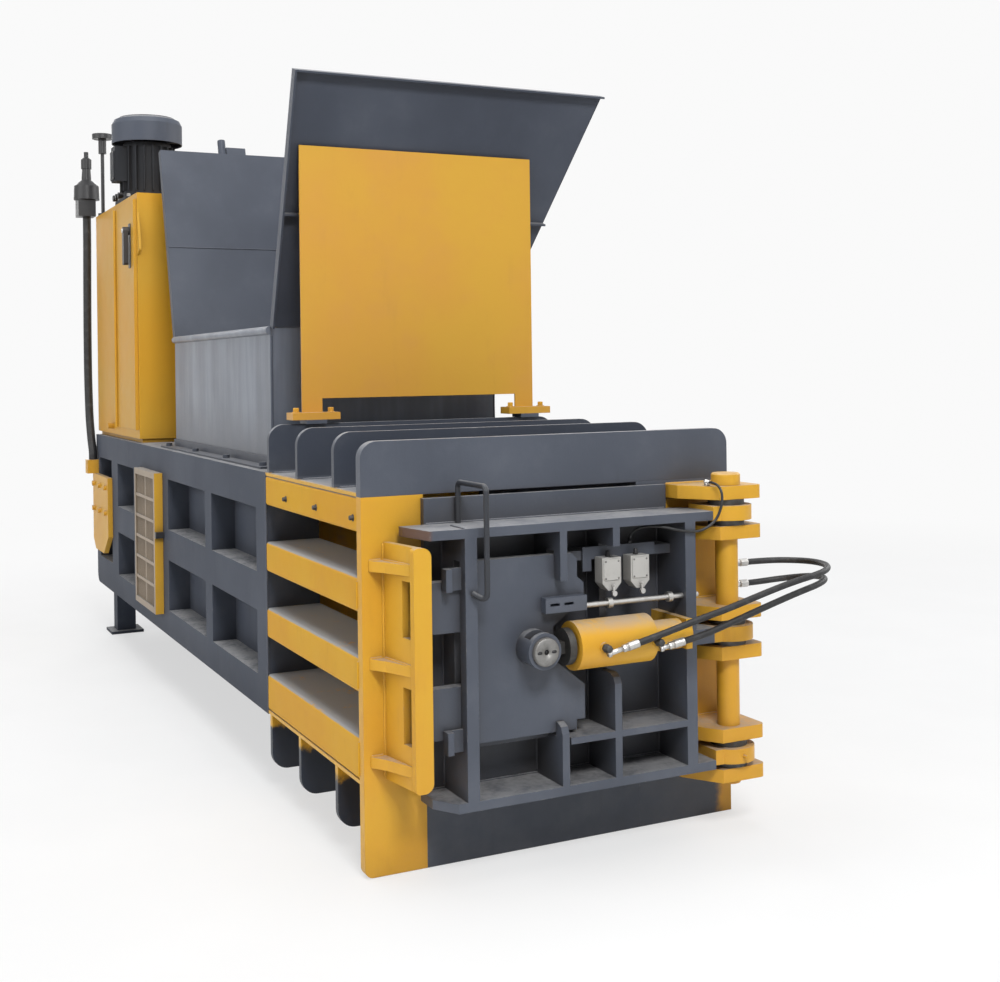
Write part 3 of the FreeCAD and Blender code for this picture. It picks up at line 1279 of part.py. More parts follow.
def make_lock():
    """Lock plate with its two fingers, the clevis, the pin and the rod that drives them."""
    edge = -D.plate_left
    nose = -D.finger_tip
    high_top = D.finger_high + D.finger_width
    low_top = D.finger_low + D.finger_width
    waist = -D.plate_waist
    outline = [
        (edge, D.plate_low), (D.plate_foot, D.plate_low), (D.plate_foot, D.plate_foot_top),
        (D.plate_right, D.plate_foot_top), (D.plate_right, D.ram_axis - 1.8 * D.barrel_radius),
        (D.plate_thick / 8, D.ram_axis - 0.88 * D.barrel_radius),
        (waist, D.ram_axis - 0.7 * D.barrel_radius), (waist, D.ram_axis + 0.73 * D.barrel_radius),
        (D.plate_right / 2, D.plate_arm), (D.plate_right, D.plate_arm),
        (D.plate_right, D.plate_step), (D.plate_upper, D.plate_step + D.plate_thick / 2),
        (D.plate_upper, D.plate_top - D.plate_thick / 2),
        (D.plate_upper - D.plate_thick / 2, D.plate_top),
        (edge, D.plate_top), (edge, high_top), (nose, high_top), (nose, D.finger_high),
        (edge, D.finger_high), (edge, low_top), (nose, low_top), (nose, D.finger_low),
        (edge, D.finger_low)]
    plate = across_x(D.plate_back, plate_face, [outline],
                     rounds=[(nose, high_top, D.plate_thick / 3), (nose, D.finger_low, D.plate_thick / 3),
                             (nose, D.finger_high, D.plate_thick / 3), (nose, low_top, D.plate_thick / 3)])
    y = -D.clevis_y
    front = D.ram_front + D.clevis_slot
    slot_half = D.clevis_slot / 2 + D.lock_play * 0.6
    cheek = rod("x", plate_face, y, D.ram_axis, D.clevis_round, front - plate_face)
    slot = box(D.ram_front - slot_half, D.ram_front + slot_half, y - D.rod_eye - D.lock_play,
               y + D.clevis_round * 2, D.ram_axis - D.clevis_round * 2,
               D.ram_axis + D.clevis_round * 2)
    hole = rod("x", D.plate_back - D.lock_play, y, D.ram_axis, D.clevis_pin / 2 + D.fit_play,
               front - D.plate_back + 2 * D.lock_play)
    node("lock_plate", cut(fuse(plate, cheek), slot, hole))
    pin = rod("x", D.plate_back, y, D.ram_axis, D.clevis_pin / 2, front - D.plate_back + D.lock_play)
    head = rod("x", front + D.washer_play, y, D.ram_axis, D.clevis_head, D.lock_play * 3)
    wells = []
    for step in range(3):
        turn = math.radians(90 * step)
        wells.append(rod("x", front + D.lock_play * 2, y - D.clevis_head * 0.6 * math.cos(turn),
                         D.ram_axis - D.clevis_head * 0.6 * math.sin(turn) * 0.2,
                         D.clevis_head / 7, D.lock_play * 3))
    node("clevis_pin", cut(fuse(pin, head), *wells))
    eye_hole = rod("x", D.ram_front - D.clevis_slot, y, D.ram_axis, D.clevis_pin / 2 + D.fit_play,
                   2 * D.clevis_slot)
    eye = rod("x", D.ram_front - D.clevis_slot / 2, y, D.ram_axis, D.rod_eye, D.clevis_slot)
    flat = D.rod_radius * 0.67
    shank_end = D.barrel_start - D.rod_collar_gap
    shank = box(D.ram_front - D.clevis_slot / 2, D.ram_front + D.clevis_slot / 2, y, shank_end,
                D.ram_axis - flat, D.ram_axis + flat)
    collar = rod("y", D.ram_front, shank_end - D.rod_collar_thick, D.ram_axis, D.rod_collar,
                 D.rod_collar_thick)
    bar = rod("y", D.ram_front, shank_end, D.ram_axis, D.rod_radius, 2.4 * D.lock_travel)
    node("lock_rod", cut(fuse(eye, shank, collar, bar), eye_hole))


def make_lock_cylinder():
    """The yellow cylinder between the lock's clevis and the door's right post."""
    y = D.barrel_start
    end = y + D.barrel_length
    barrel = rod("y", D.ram_front, y, D.ram_axis, D.barrel_radius, D.barrel_length)
    collar = rod("y", D.ram_front, end, D.ram_axis, D.cap_radius, D.post_right - end - D.post_thick)
    stem = rod("y", D.ram_front, end, D.ram_axis, D.cap_radius * 0.7, D.post_right - end)
    foot = box(skin_face, D.ram_front + D.cap_radius * 0.6, D.post_right - D.post_thick * 0.6,
               D.post_right, D.ram_axis - D.cap_radius, D.ram_axis + D.cap_radius)
    bore = rod("y", D.ram_front, y - D.lock_play, D.ram_axis, D.rod_radius + D.fit_play,
               D.barrel_length * 0.9)
    ports = [rod("x", D.ram_front + D.barrel_radius / 2, spot, D.ram_axis, D.ferrule_radius * 1.2,
                 port_face - D.ram_front - D.barrel_radius / 2)
             for spot in (D.port_first, D.port_second)]
    node("lock_cylinder", cut(fuse(barrel, collar, stem, foot, *ports), bore))


def make_trip_gear():
    """Switch plate with its two limit switches, their roller levers, and the trip rod."""
    plate_x = D.plate_back - 3 * D.lock_play
    sheet_thick = D.door_gap * 3
    board_face = plate_x + sheet_thick
    pieces = [box(plate_x, board_face, D.switch_board, D.switch_board_end,
                  D.switch_board_low, D.switch_board_top),
              box(plate_x, board_face, D.switch_board, D.switch_board + D.switch_tab,
                  D.switch_tab_low, D.switch_board_low)]
    case_front = board_face + D.switch_case * 0.7
    pivot_z = D.trip_level + D.collar_radius + D.roller_play + D.roller_radius + D.lever_length
    thick = D.lock_play
    for step in range(2):
        y = D.switch_first + step * D.switch_pitch
        heart = y + D.switch_case / 2
        shoulder = D.switch_low + D.switch_case / 3
        pieces.append(across_x(board_face, case_front, [[
            (heart - D.switch_case / 5, D.switch_low), (heart + D.switch_case / 5, D.switch_low),
            (y + D.switch_case, shoulder), (y + D.switch_case, D.switch_top), (y, D.switch_top),
            (y, shoulder)]]))
        pieces.append(rod("x", case_front - thick, heart, pivot_z, thick,
                          D.trip_x + 2 * thick - case_front))
        low = pivot_z - D.lever_length
        arm_x = D.trip_x - thick
        lever = fuse(box(arm_x, arm_x + thick, heart - thick, heart + thick, low, pivot_z),
                     rod("x", arm_x, heart, pivot_z, D.lock_play * 2, thick),
                     rod("x", arm_x, heart, low, D.roller_radius, 3 * thick))
        hole = rod("x", arm_x - thick, heart, pivot_z, D.lock_play + D.fit_play, 5 * thick)
        node("roller_lever_%d" % (step + 1), cut(lever, hole))
    node("switch_plate", fuse(*pieces))
    foot_face = D.trip_x + D.trip_radius * 1.4
    bar = rod("y", D.trip_x, D.trip_foot_end - D.post_thick, D.trip_level, D.trip_radius,
              D.post_right + D.post_thick * 1.5 - D.trip_foot_end + D.post_thick)
    plain_foot = box(plate_face, foot_face, -D.trip_foot, D.trip_foot_end,
                     D.trip_level - D.trip_radius * 1.4, D.trip_level + D.trip_foot_high)
    slots = [box(plate_face + D.lock_play * 2, foot_face + D.lock_play, start, start + D.trip_slot,
                 D.trip_level + D.trip_radius, D.trip_level + D.trip_radius * 2)
             for start in (-D.trip_foot + D.trip_slot / 2, -D.trip_foot + D.trip_slot * 2)]
    foot = cut(plain_foot, *slots)
    collars = [rod("y", D.trip_x, y, D.trip_level, D.collar_radius, D.collar_radius)
               for y in (D.trip_collar, D.trip_collar_far)]
    node("trip_rod", fuse(bar, foot, *collars))


# ---------------------------------------------------------------- hoses and cable

UPPER_HOSE = [(312, 206, 712), (316, 300, 733), (320, 420, 764), (322, 560, 794), (321, 700, 830),
              (316, 830, 858), (310, 960, 877), (233, 1052, 884), (114.5, 1073, 884), (10.5, 1013, 880),
              (-20, 929, 878), (-20, 880, 878)]
LOWER_HOSE = [(312, 379, 700), (315, 450, 712), (320, 540, 738), (321, 650, 769), (316, 760, 797),
              (309, 860, 820), (300, 955, 838), (225, 1044, 842), (110, 1065, 832), (9.5, 1006, 812),
              (-20, 925, 802), (-20, 880, 802)]
SWITCH_WIRE = [(114, 300, 1001.5), (114, 300, 1026), (134, 314, 1051), (166, 338, 1062), (198, 385, 1060),
               (212, 445, 1043), (218, 510, 1036), (228, 565, 1064), (237, 588, 1110), (238, 594, 1166),
               (208.7, 590, 1196), (167.3, 590, 1196)]


def ferrule(point, following, length, radius):
    """A crimped end that carries a hose on from its first point."""
    tip = FreeCAD.Vector(*[float(part) for part in point])
    away = tip - FreeCAD.Vector(*[float(part) for part in following])
    away.normalize()
    made = doc.addObject("Part::Cylinder", fresh("ferrule"))
    made.Radius = float(radius)
    made.Height = float(length)
    bind(made, "Radius", radius)
    bind(made, "Height", length)
    made.Placement = FreeCAD.Placement(tip, FreeCAD.Rotation(FreeCAD.Vector(0, 0, 1), away))
    return made


def make_fittings():
    """Hose ends on the lock cylinder and on the frame's side, and the cable's gland."""
    door_side = []
    for spot, route in ((D.port_first, UPPER_HOSE), (D.port_second, LOWER_HOSE)):
        end = ferrule(route[0], route[1], D.ferrule_length, D.ferrule_radius)
        neck = ferrule(route[0], route[1], route[0][1] - spot, D.ferrule_radius * 0.6)
        seat = rod("x", port_face, spot, D.ram_axis, D.ferrule_radius, D.ferrule_radius * 2)
        door_side.append(fuse(end, neck, seat))
    node("cylinder_fittings", group(*door_side))
    frame_side = []
    for route in (UPPER_HOSE, LOWER_HOSE):
        x, y, z = route[-1]
        crimp = ferrule(route[-1], route[-2], D.ferrule_length * 0.85, D.ferrule_radius)
        stub = rod("y", x, D.frame_right, z, D.ferrule_radius * 0.6, y - D.frame_right - 1)
        nut = rod("y", x, D.frame_right, z, D.ferrule_radius * 1.2, D.ferrule_radius)
        frame_side.append(fuse(crimp, stub, nut))
    end_x, end_y, end_z = SWITCH_WIRE[-1]
    seat_z = pin_top
    body = rod("x", end_x - 26, end_y, end_z, D.wire_thick, 26)
    foot = box(end_x - 22, end_x - 6, end_y - D.wire_thick, end_y + D.wire_thick, seat_z, end_z)
    frame_side.append(fuse(body, foot))
    node("bulkhead_fittings", group(*frame_side))


def make_cords():
    """The two hoses and the switch cable that hang across the door's hinge."""
    node("lock_hose_upper", tube("lock_hose_upper", UPPER_HOSE, D.hose_thick))
    node("lock_hose_lower", tube("lock_hose_lower", LOWER_HOSE, D.hose_thick))
    node("switch_cable", tube("switch_cable", SWITCH_WIRE, D.wire_thick))


make_front_frame()
make_side_beams()
make_chamber_plates()
make_body_box()
make_body_sides()
make_hopper_curb()
make_hopper_box()
make_hopper_panels()
make_hopper_guard()
make_keeper()
make_hinge()
make_power_housing()
make_housing_door()
make_motor()
make_hydraulics()
make_press()
make_mesh_door()
make_anchors()
make_door_skin()
make_door_frame()
make_knuckles()
make_door_handle()
make_lock()
make_lock_cylinder()
make_trip_gear()
make_fittings()
make_cords()

# ---------------------------------------------------------------- checking and writing

doc.recompute()
for thing in doc.Objects:
    if "Invalid" in thing.State or "Error" in thing.State:
        raise RuntimeError("%s (%s) could not be made: %s" % (thing.Name, thing.Label, thing.State))
for thing in NODES:
    if thing.Shape.isNull() or not thing.Shape.isValid():
        raise RuntimeError("%s has no sound shape" % thing.Label)
    if not thing.Shape.Solids:
        raise RuntimeError("%s holds no solid" % thing.Label)
for thing in NODES:
    thing.Shape.exportStep(os.path.join("parts", thing.Label + ".step"))
print("%d sub-parts written" % len(NODES))
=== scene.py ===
import math

import bpy
import numpy as np
from bpy.props import FloatProperty, FloatVectorProperty, PointerProperty
from bpy.types import Operator, Panel, PropertyGroup
from mathutils import Matrix, Vector


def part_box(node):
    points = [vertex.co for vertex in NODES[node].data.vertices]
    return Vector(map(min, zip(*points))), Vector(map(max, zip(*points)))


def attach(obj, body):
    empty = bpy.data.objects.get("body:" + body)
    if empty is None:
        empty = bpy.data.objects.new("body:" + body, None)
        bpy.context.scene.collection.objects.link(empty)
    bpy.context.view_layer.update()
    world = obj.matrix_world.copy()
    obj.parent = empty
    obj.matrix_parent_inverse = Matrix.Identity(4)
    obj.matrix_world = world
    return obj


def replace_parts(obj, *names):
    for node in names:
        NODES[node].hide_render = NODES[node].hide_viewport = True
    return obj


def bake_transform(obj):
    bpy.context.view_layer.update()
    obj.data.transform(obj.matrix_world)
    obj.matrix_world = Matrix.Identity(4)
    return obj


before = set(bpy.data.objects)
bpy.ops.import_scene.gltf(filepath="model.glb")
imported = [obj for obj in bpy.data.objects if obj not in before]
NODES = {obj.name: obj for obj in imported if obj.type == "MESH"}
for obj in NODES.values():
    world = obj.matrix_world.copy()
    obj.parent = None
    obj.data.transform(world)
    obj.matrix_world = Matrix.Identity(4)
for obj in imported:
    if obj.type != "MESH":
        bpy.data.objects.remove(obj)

bl_info = {
    "name": "Baler finishes",
    "version": (1, 0, 0),
    "blender": (4, 5, 0),
    "location": "View3D > Sidebar > Baler",
    "description": "Cords, small fittings, paintwork and studio for a horizontal recycling baler",
    "category": "Add Mesh",
}

PRESS = "press"
DOOR = "discharge_door"
LOCK = "lock"
BAY = "bay_door"
LEVER = "bay_lever"

# Places on the machine that its paint follows, in metres.
SILL_TOP = 0.262
DOORWAY_TOP = 1.130
CHAMBER_WALL = 0.4025
SHELF_FOOT = 1.069
SHELF_OVERHANG = -0.461
BODY_FOOT = 0.27
HOPPER_FOOT = 1.21
ROOF_TOP = 1.208
ROOF_EDGE = 0.601
SWITCH_BOARD_FACE = 0.1175
GUARD_FOOT = 1.4055
MESH_EDGE = -2.8715
TRIP_FOOT_END = 0.089


# ---------------------------------------------------------------- shader maths

class Wire:
    """One number that varies over a surface. The usual operators add Math nodes to its finish."""

    def __init__(self, finish, socket):
        self.finish = finish
        self.socket = socket

    def math(self, operation, *values):
        return self.finish.node("ShaderNodeMath", {"operation": operation}, dict(enumerate(values)))

    def __add__(self, other):
        return self.math("ADD", self, other)

    __radd__ = __add__

    def __sub__(self, other):
        return self.math("SUBTRACT", self, other)

    def __rsub__(self, other):
        return self.math("SUBTRACT", other, self)

    def __mul__(self, other):
        return self.math("MULTIPLY", self, other)

    __rmul__ = __mul__

    def __pow__(self, other):
        return self.math("POWER", self, other)

    def ramp(self, low, high):
        """0 at low, 1 at high, eased in between; low may be the larger."""
        return self.finish.node("ShaderNodeMapRange", {"interpolation_type": "SMOOTHSTEP"},
                                {"Value": self, "From Min": low, "From Max": high})

    def band(self, low, high, soft):
        """1 between low and high, 0 outside, with ends soft wide."""
        return self.ramp(low - soft, low + soft) * self.ramp(high + soft, high - soft)

    def size(self):
        """The number without its sign."""
        return self.math("ABSOLUTE", self)

    def clip(self):
        """The number held between 0 and 1."""
        return self.finish.node("ShaderNodeClamp", {}, {"Value": self})


class Finish:
    """One material, built node by node on a Principled surface."""

    def __init__(self, name):
        self.paints = bpy.context.scene.baler_paints
        self.material = bpy.data.materials.new(name)
        self.material.use_nodes = True
        self.tree = self.material.node_tree
        self.tree.nodes.clear()
        self.surface = self.tree.nodes.new("ShaderNodeBsdfPrincipled")
        self.out = self.tree.nodes.new("ShaderNodeOutputMaterial")
        self.tree.links.new(self.surface.outputs["BSDF"], self.out.inputs["Surface"])
        place = self.tree.nodes.new("ShaderNodeTexCoord")
        self.place = Wire(self, place.outputs["Object"])
        shape = self.tree.nodes.new("ShaderNodeNewGeometry")
        self.normal = Wire(self, shape.outputs["Normal"])
        self.x, self.y, self.z = self.split(self.place)
        self.facing = self.split(self.normal)

    def node(self, kind, settings, values, output=0):
        """Adds a node, sets its settings, fills its sockets and gives one output."""
        made = self.tree.nodes.new(kind)
        for key, value in settings.items():
            setattr(made, key, value)
        for socket, value in values.items():
            if isinstance(value, Wire):
                self.tree.links.new(value.socket, made.inputs[socket])
            else:
                made.inputs[socket].default_value = value
        return Wire(self, made.outputs[output])

    def split(self, vector):
        """The x, y and z of a vector."""
        made = self.tree.nodes.new("ShaderNodeSeparateXYZ")
        self.tree.links.new(vector.socket, made.inputs[0])
        return [Wire(self, made.outputs[index]) for index in range(3)]

    def stretch(self, x, y, z):
        """The place on the object, scaled along each axis: less than 1 draws noise out."""
        return self.node("ShaderNodeMapping", {"vector_type": "POINT"},
                         {"Vector": self.place, "Scale": (x, y, z)})

    def cloud(self, size, detail=3.0, rough=0.6, at=None):
        """Noise whose blotches are about size metres across, 0 to 1 round a middle of 0.5."""
        return self.node("ShaderNodeTexNoise", {},
                         {"Vector": at or self.place, "Scale": 1.0 / size, "Detail": detail,
                          "Roughness": rough})

    def streaks(self, size, rough=0.6):
        """Noise drawn out into upright streaks about size metres wide."""
        return self.cloud(size, rough=rough, at=self.stretch(1.0, 1.0, 0.12))

    def mix(self, amount, first, second):
        """First colour where amount is 0, second where it is 1."""
        first, second = (tone if isinstance(tone, Wire) else (*tone, 1.0)
                         for tone in (first, second))
        return self.node("ShaderNodeMix", {"data_type": "RGBA", "clamp_factor": True},
                         {0: amount, 6: first, 7: second}, output=2)

    def openness(self, reach):
        """1 where nothing is near, down to 0 in corners that close within reach."""
        return self.node("ShaderNodeAmbientOcclusion", {"samples": 6}, {"Distance": reach},
                         output=1)

    def rounded(self, radius):
        """The surface's normal as if its edges were rounded to that radius."""
        return self.node("ShaderNodeBevel", {"samples": 4}, {"Radius": radius})

    def edges(self, radius):
        """1 on sharp edges, 0 on flats: how far the rounded normal turns from the true one."""
        turned = self.node("ShaderNodeVectorMath", {"operation": "DOT_PRODUCT"},
                           {0: self.rounded(radius), 1: self.normal}, output=1)
        return (1.0 - turned).ramp(0.015, 0.12)

    def put(self, **values):
        """Feeds the surface's sockets; an underscore in a name stands for a space."""
        for name, value in values.items():
            socket = self.surface.inputs[name.replace("_", " ")]
            if isinstance(value, Wire):
                self.tree.links.new(value.socket, socket)
            else:
                socket.default_value = value

    def relief(self, height, depth, radius=0.0):
        """Bump of that height pattern, over edges rounded to radius."""
        values = {"Height": height, "Strength": 1.0, "Distance": depth}
        if radius:
            values["Normal"] = self.rounded(radius)
        return self.node("ShaderNodeBump", {}, values)


def paintwork(name, base, other, dust=0.4, wear=0.3, gloss=0.42, streak=0.3, grime_and_shade=0.3,
              share=1.0, second=None, scuff=0.0, sheen=0.4, settled=None):
    """Sprayed machine paint on rolled plate.

    The base colour drifts towards other in clouds. Dust lies where the surface faces up, and in a
    thin film elsewhere. Stains run down walls, and sharp edges are rubbed to primer and steel.
    Ambient occlusion darkens corners and creases: painted shade, with some soiling. gloss is the
    mean roughness; streak, wear and the share of that darkening run from 0 to 1, and dust may be
    more where it lies unbroken. Edges are rounded to a share of the panel's plate edge.
    second(finish, tone) may mask in another paint, and on some finishes painted shade and painted
    reflection; scuff is the share of pale upright rubbing marks on walls that loads slide along,
    sheen the specular level, and settled the colour of dust that lies undisturbed.
    """
    f = Finish(name)
    edge = bpy.context.scene.baler_sizes.edge * share
    wide = f.cloud(0.55, 2.0, 0.5)
    middle = f.cloud(0.12, 4.0)
    small = f.cloud(0.018)
    speck = f.cloud(0.004, 2.0, 0.5)
    tone = f.mix(wide.ramp(0.36, 0.66) * 0.75 + middle.ramp(0.4, 0.75) * 0.25, base, other)
    if second:
        tone = second(f, tone)
    runs = f.streaks(0.05).ramp(0.56, 0.74) * streak * (1.0 - f.facing[2].ramp(0.3, 0.7))
    tone = f.mix(runs * middle.ramp(0.3, 0.7), tone, f.paints.grime_and_shade)
    if scuff:
        rub = f.streaks(0.11, 0.55).ramp(0.40, 0.82) * middle.ramp(0.3, 0.62) * scuff
        tone = f.mix(rub, tone, f.paints.primer)
    # Painted shade, with some soiling: ambient occlusion darkens corners and creases.
    crease = 1.0 - f.openness(0.16)
    crease_dirt_and_shade = (crease.ramp(0.10, 0.75) * (0.5 + middle) * grime_and_shade).clip()
    tone = f.mix(crease_dirt_and_shade, tone, f.paints.grime_and_shade)
    up = f.facing[2].ramp(0.45, 0.95)
    lying = (up * (middle * 0.55 + small * 0.45).ramp(0.22, 0.62) * dust).clip()
    film = (middle * 0.6 + wide * 0.4).ramp(0.48, 0.78) * (min(dust, 1.0) * 0.07)
    tone = f.mix(film, tone, f.paints.dust)
    tone = f.mix(lying, tone, settled or f.paints.dust)
    sharp = f.edges(edge * 1.6)
    rubbed = sharp * (small * 0.6 + middle * 0.4).ramp(0.62 - 0.28 * wear, 0.74 - 0.2 * wear)
    nicks = (small * 0.5 + speck * 0.5).ramp(0.705 - 0.03 * wear, 0.72 - 0.03 * wear) \
        * middle.ramp(0.5, 0.62)
    bare = (rubbed + nicks * wear * 0.8).clip()
    tone = f.mix(bare * 0.85, tone, f.paints.primer)
    rough = gloss + 0.16 * (middle - 0.5) + 0.35 * lying + 0.12 * runs + 0.15 * film + 0.1 * bare
    if scuff:
        rough = rough - 0.12 * rub
    skin = small * 0.5 + speck * 0.2 + wide * 3.0
    f.put(Base_Color=tone, Roughness=rough.clip(), Normal=f.relief(skin, 0.0008, edge))
    f.surface.inputs["Specular IOR Level"].default_value = sheen


def slate_tone(f):
    """The dark grey in its two casts."""
    return f.mix(f.cloud(0.4, 2.0, 0.5).ramp(0.36, 0.66), f.paints.slate, f.paints.pale_slate)


def uneven(f, much=0.006):
    """Height with a masking edge that wanders by much."""
    return f.z + (f.cloud(0.045) - 0.5) * (2.0 * much)


def floor_film(f, tone):
    """What lies below the door is darker, under a thin and patchy film of floor dust."""
    film = f.cloud(0.16).ramp(0.2, 0.8) * 0.07 * f.z.ramp(SILL_TOP, SILL_TOP - 0.102)
    below = f.z.ramp(SILL_TOP + 0.013, SILL_TOP)
    return f.mix(film, f.mix(below * 0.62, tone, f.paints.navy_and_shade), f.paints.dust)


def hinge_post_tone(f, tone):
    """The hinge post is yellow beside the door and on its lower outer corner, else slate."""
    height = uneven(f, 0.002)
    beside = height.band(SILL_TOP, DOORWAY_TOP, 0.003)
    below = height.ramp(SILL_TOP + 0.002, SILL_TOP - 0.002)
    corner = (f.y + uneven(f, 0.02) - f.z).ramp(0.712, 0.752) * below
    return f.mix(beside.math("MAXIMUM", beside, corner), floor_film(f, slate_tone(f)), tone)


def beam_tone(f, tone):
    """The beams' inner faces, which bales rub, are slate like the chamber."""
    inner = f.y.size().ramp(CHAMBER_WALL + 0.001, CHAMBER_WALL - 0.001)
    return f.mix(inner, tone, slate_tone(f))


def door_tone(f, tone):
    """The overhanging end of the door's top shelf shows red-brown primer."""
    shelf = uneven(f, 0.01).ramp(SHELF_FOOT - 0.003, SHELF_FOOT + 0.003)
    end = shelf * f.y.ramp(SHELF_OVERHANG + 0.009, SHELF_OVERHANG - 0.009)
    end = end * (1.0 - f.facing[2].ramp(0.4, 0.8))
    return f.mix(end * 0.8, tone, f.paints.red_primer)


def body_tone_and_low_shade(f, tone):
    """The body is painted darker than the door, and painted shade darkens it towards its lower
    edge.
    """
    # Painted shade: deep blue laid on more strongly near the lower edge, in patches.
    low = f.z.ramp(BODY_FOOT + 0.2, BODY_FOOT) * (0.35 + 0.3 * f.cloud(0.2))
    return f.mix(low + 0.12, tone, f.paints.navy_and_shade)


def chute_wear_and_reflection(f, tone):
    """The hopper's lower box turns pale above its foot, in upright streaks: painted reflection on
    its glossy sheet, with some rubbing wear.
    """
    # Painted reflection with rubbing wear: paler upwards from the foot, in upright streaks.
    rubbed = f.z.ramp(HOPPER_FOOT, HOPPER_FOOT + 0.29)
    streaks = f.streaks(0.11, 0.55).ramp(0.32, 0.76)
    return f.mix(rubbed * (0.30 + 0.5 * streaks), tone, f.paints.burnished_and_reflection)


def floor_rib_tone(f, tone):
    """The lower ribs are slate; overspray from the beams colours their upper outer ends."""
    sprayed = uneven(f, 0.035).ramp(SILL_TOP - 0.027, SILL_TOP) * f.y.size().ramp(0.39, 0.43)
    return f.mix(sprayed, tone, f.paints.yellow)


def roof_edge_and_rib_shade(f, tone):
    """The roof plate's outer edge went yellow with the beams under it; the ribs' upright faces
    carry painted shade in deep blue.
    """
    # Painted shade: the ribs' upright faces, shadowed by one another, go most of the way to deep
    # blue.
    ribs = f.z.ramp(ROOF_TOP + 0.006, ROOF_TOP + 0.014) * (1.0 - f.facing[2].ramp(0.3, 0.7))
    tone = f.mix(ribs * 0.7, tone, f.paints.navy_and_shade)
    edge = uneven(f, 0.002).ramp(ROOF_TOP + 0.004, ROOF_TOP - 0.004)
    edge = edge * f.y.size().ramp(ROOF_EDGE - 0.003, ROOF_EDGE + 0.003)
    return f.mix(edge, tone, f.paints.yellow)


def switch_case_tone(f, tone):
    """The switch cases in front of the board are pale plastic."""
    case = f.x.ramp(SWITCH_BOARD_FACE - 0.0002, SWITCH_BOARD_FACE + 0.0002)
    return f.mix(case, tone, f.paints.plastic)


def guard_pad_tone(f, tone):
    """The pads under the guard's feet are slate."""
    return f.mix(f.z.ramp(GUARD_FOOT + 0.001, GUARD_FOOT - 0.001), tone, slate_tone(f))


def mesh_tone(f, tone):
    """The service door's free side is yellow, its front dusty beige."""
    side = f.facing[0].ramp(0.4, 0.8) * f.x.ramp(MESH_EDGE - 0.0035, MESH_EDGE + 0.0035)
    return f.mix(side, tone, f.paints.yellow)


def trip_foot_tone(f, tone):
    """The foot of the trip rod is painted with the lock plate."""
    return f.mix(f.y.ramp(TRIP_FOOT_END + 0.0005, TRIP_FOOT_END - 0.0005), tone, slate_tone(f))


def shade(colour, share):
    """A colour made darker or lighter."""
    return [part * share for part in colour]


def turned_steel(name, base, rough=0.28, rust=0.2, edge=0.001, lines=0.0012, painted=None):
    """Machined steel: fine turning lines, thumbed darker patches and a little brown at the edges.

    painted(finish, tone) may mask in paint on the foot of the trip rod, where the metal ends.
    """
    f = Finish(name)
    cut = f.cloud(lines, 2.0, 0.5, at=f.stretch(0.08, 1.0, 1.0))
    patch = f.cloud(0.03, 4.0)
    tone = f.mix(patch.ramp(0.35, 0.75) * 0.5, base, shade(base, 0.6))
    brown = patch.ramp(0.58, 0.8) * rust + f.edges(edge * 2.0) * rust
    tone = f.mix(brown, tone, f.paints.rust)
    metal = 1.0 - brown * 0.7
    if painted:
        tone = painted(f, tone)
        metal = metal * f.y.ramp(TRIP_FOOT_END - 0.0005, TRIP_FOOT_END + 0.0005)
    f.put(Base_Color=tone, Metallic=metal,
          Roughness=(rough + 0.22 * patch.ramp(0.3, 0.8) + 0.1 * cut).clip(),
          Normal=f.relief(cut, 0.0002, edge))


def rubber(name, base, rough=0.55):
    """Oil-resistant rubber cover: black, with a dusty bloom and the faint weave of its wrap."""
    f = Finish(name)
    bloom = f.cloud(0.04, 4.0)
    wrap = f.cloud(0.003, 2.0, 0.5)
    tone = f.mix(bloom.ramp(0.45, 0.8) * 0.12, base, f.paints.dust)
    f.put(Base_Color=tone, Roughness=(rough + 0.2 * (bloom - 0.5)).clip(),
          Normal=f.relief(wrap, 0.0006))
    return f.material


def moulded(name, base, rough=0.4, dirt_and_shade=0.3):
    """Moulded cases: an even colour and finger marks, with painted shade darkening the corners,
    together with some soiling.
    """
    f = Finish(name)
    marks = f.cloud(0.02, 4.0)
    # Painted shade with some soiling: ambient occlusion darkens the corners.
    crease = 1.0 - f.openness(0.02)
    tone = f.mix((crease.ramp(0.15, 0.8) + marks.ramp(0.5, 0.8) * 0.3) * dirt_and_shade, base, f.paints.grime_and_shade)
    f.put(Base_Color=tone, Roughness=(rough + 0.25 * (marks - 0.5)).clip(),
          Normal=f.relief(f.cloud(0.002, 2.0, 0.5), 0.0002, 0.0015))


# ---------------------------------------------------------------- surfaces

def grid_faces(rows, columns):
    """Quads between neighbouring rows of points, each row closed on itself."""
    row = np.arange(rows - 1)[:, None]
    column = np.arange(columns)[None, :]
    following = (column + 1) % columns
    corners = (row * columns + column, row * columns + following,
               (row + 1) * columns + following, (row + 1) * columns + column)
    return np.stack([c.ravel() for c in corners], axis=1)


def across_of(direction):
    """Two unit vectors square to a direction and to each other."""
    direction = np.asarray(direction, float) / np.linalg.norm(direction)
    spare = np.array((0.0, 0.0, 1.0)) if abs(direction[2]) < 0.9 else np.array((1.0, 0.0, 0.0))
    first = np.cross(spare, direction)
    first /= np.linalg.norm(first)
    return first, np.cross(direction, first)


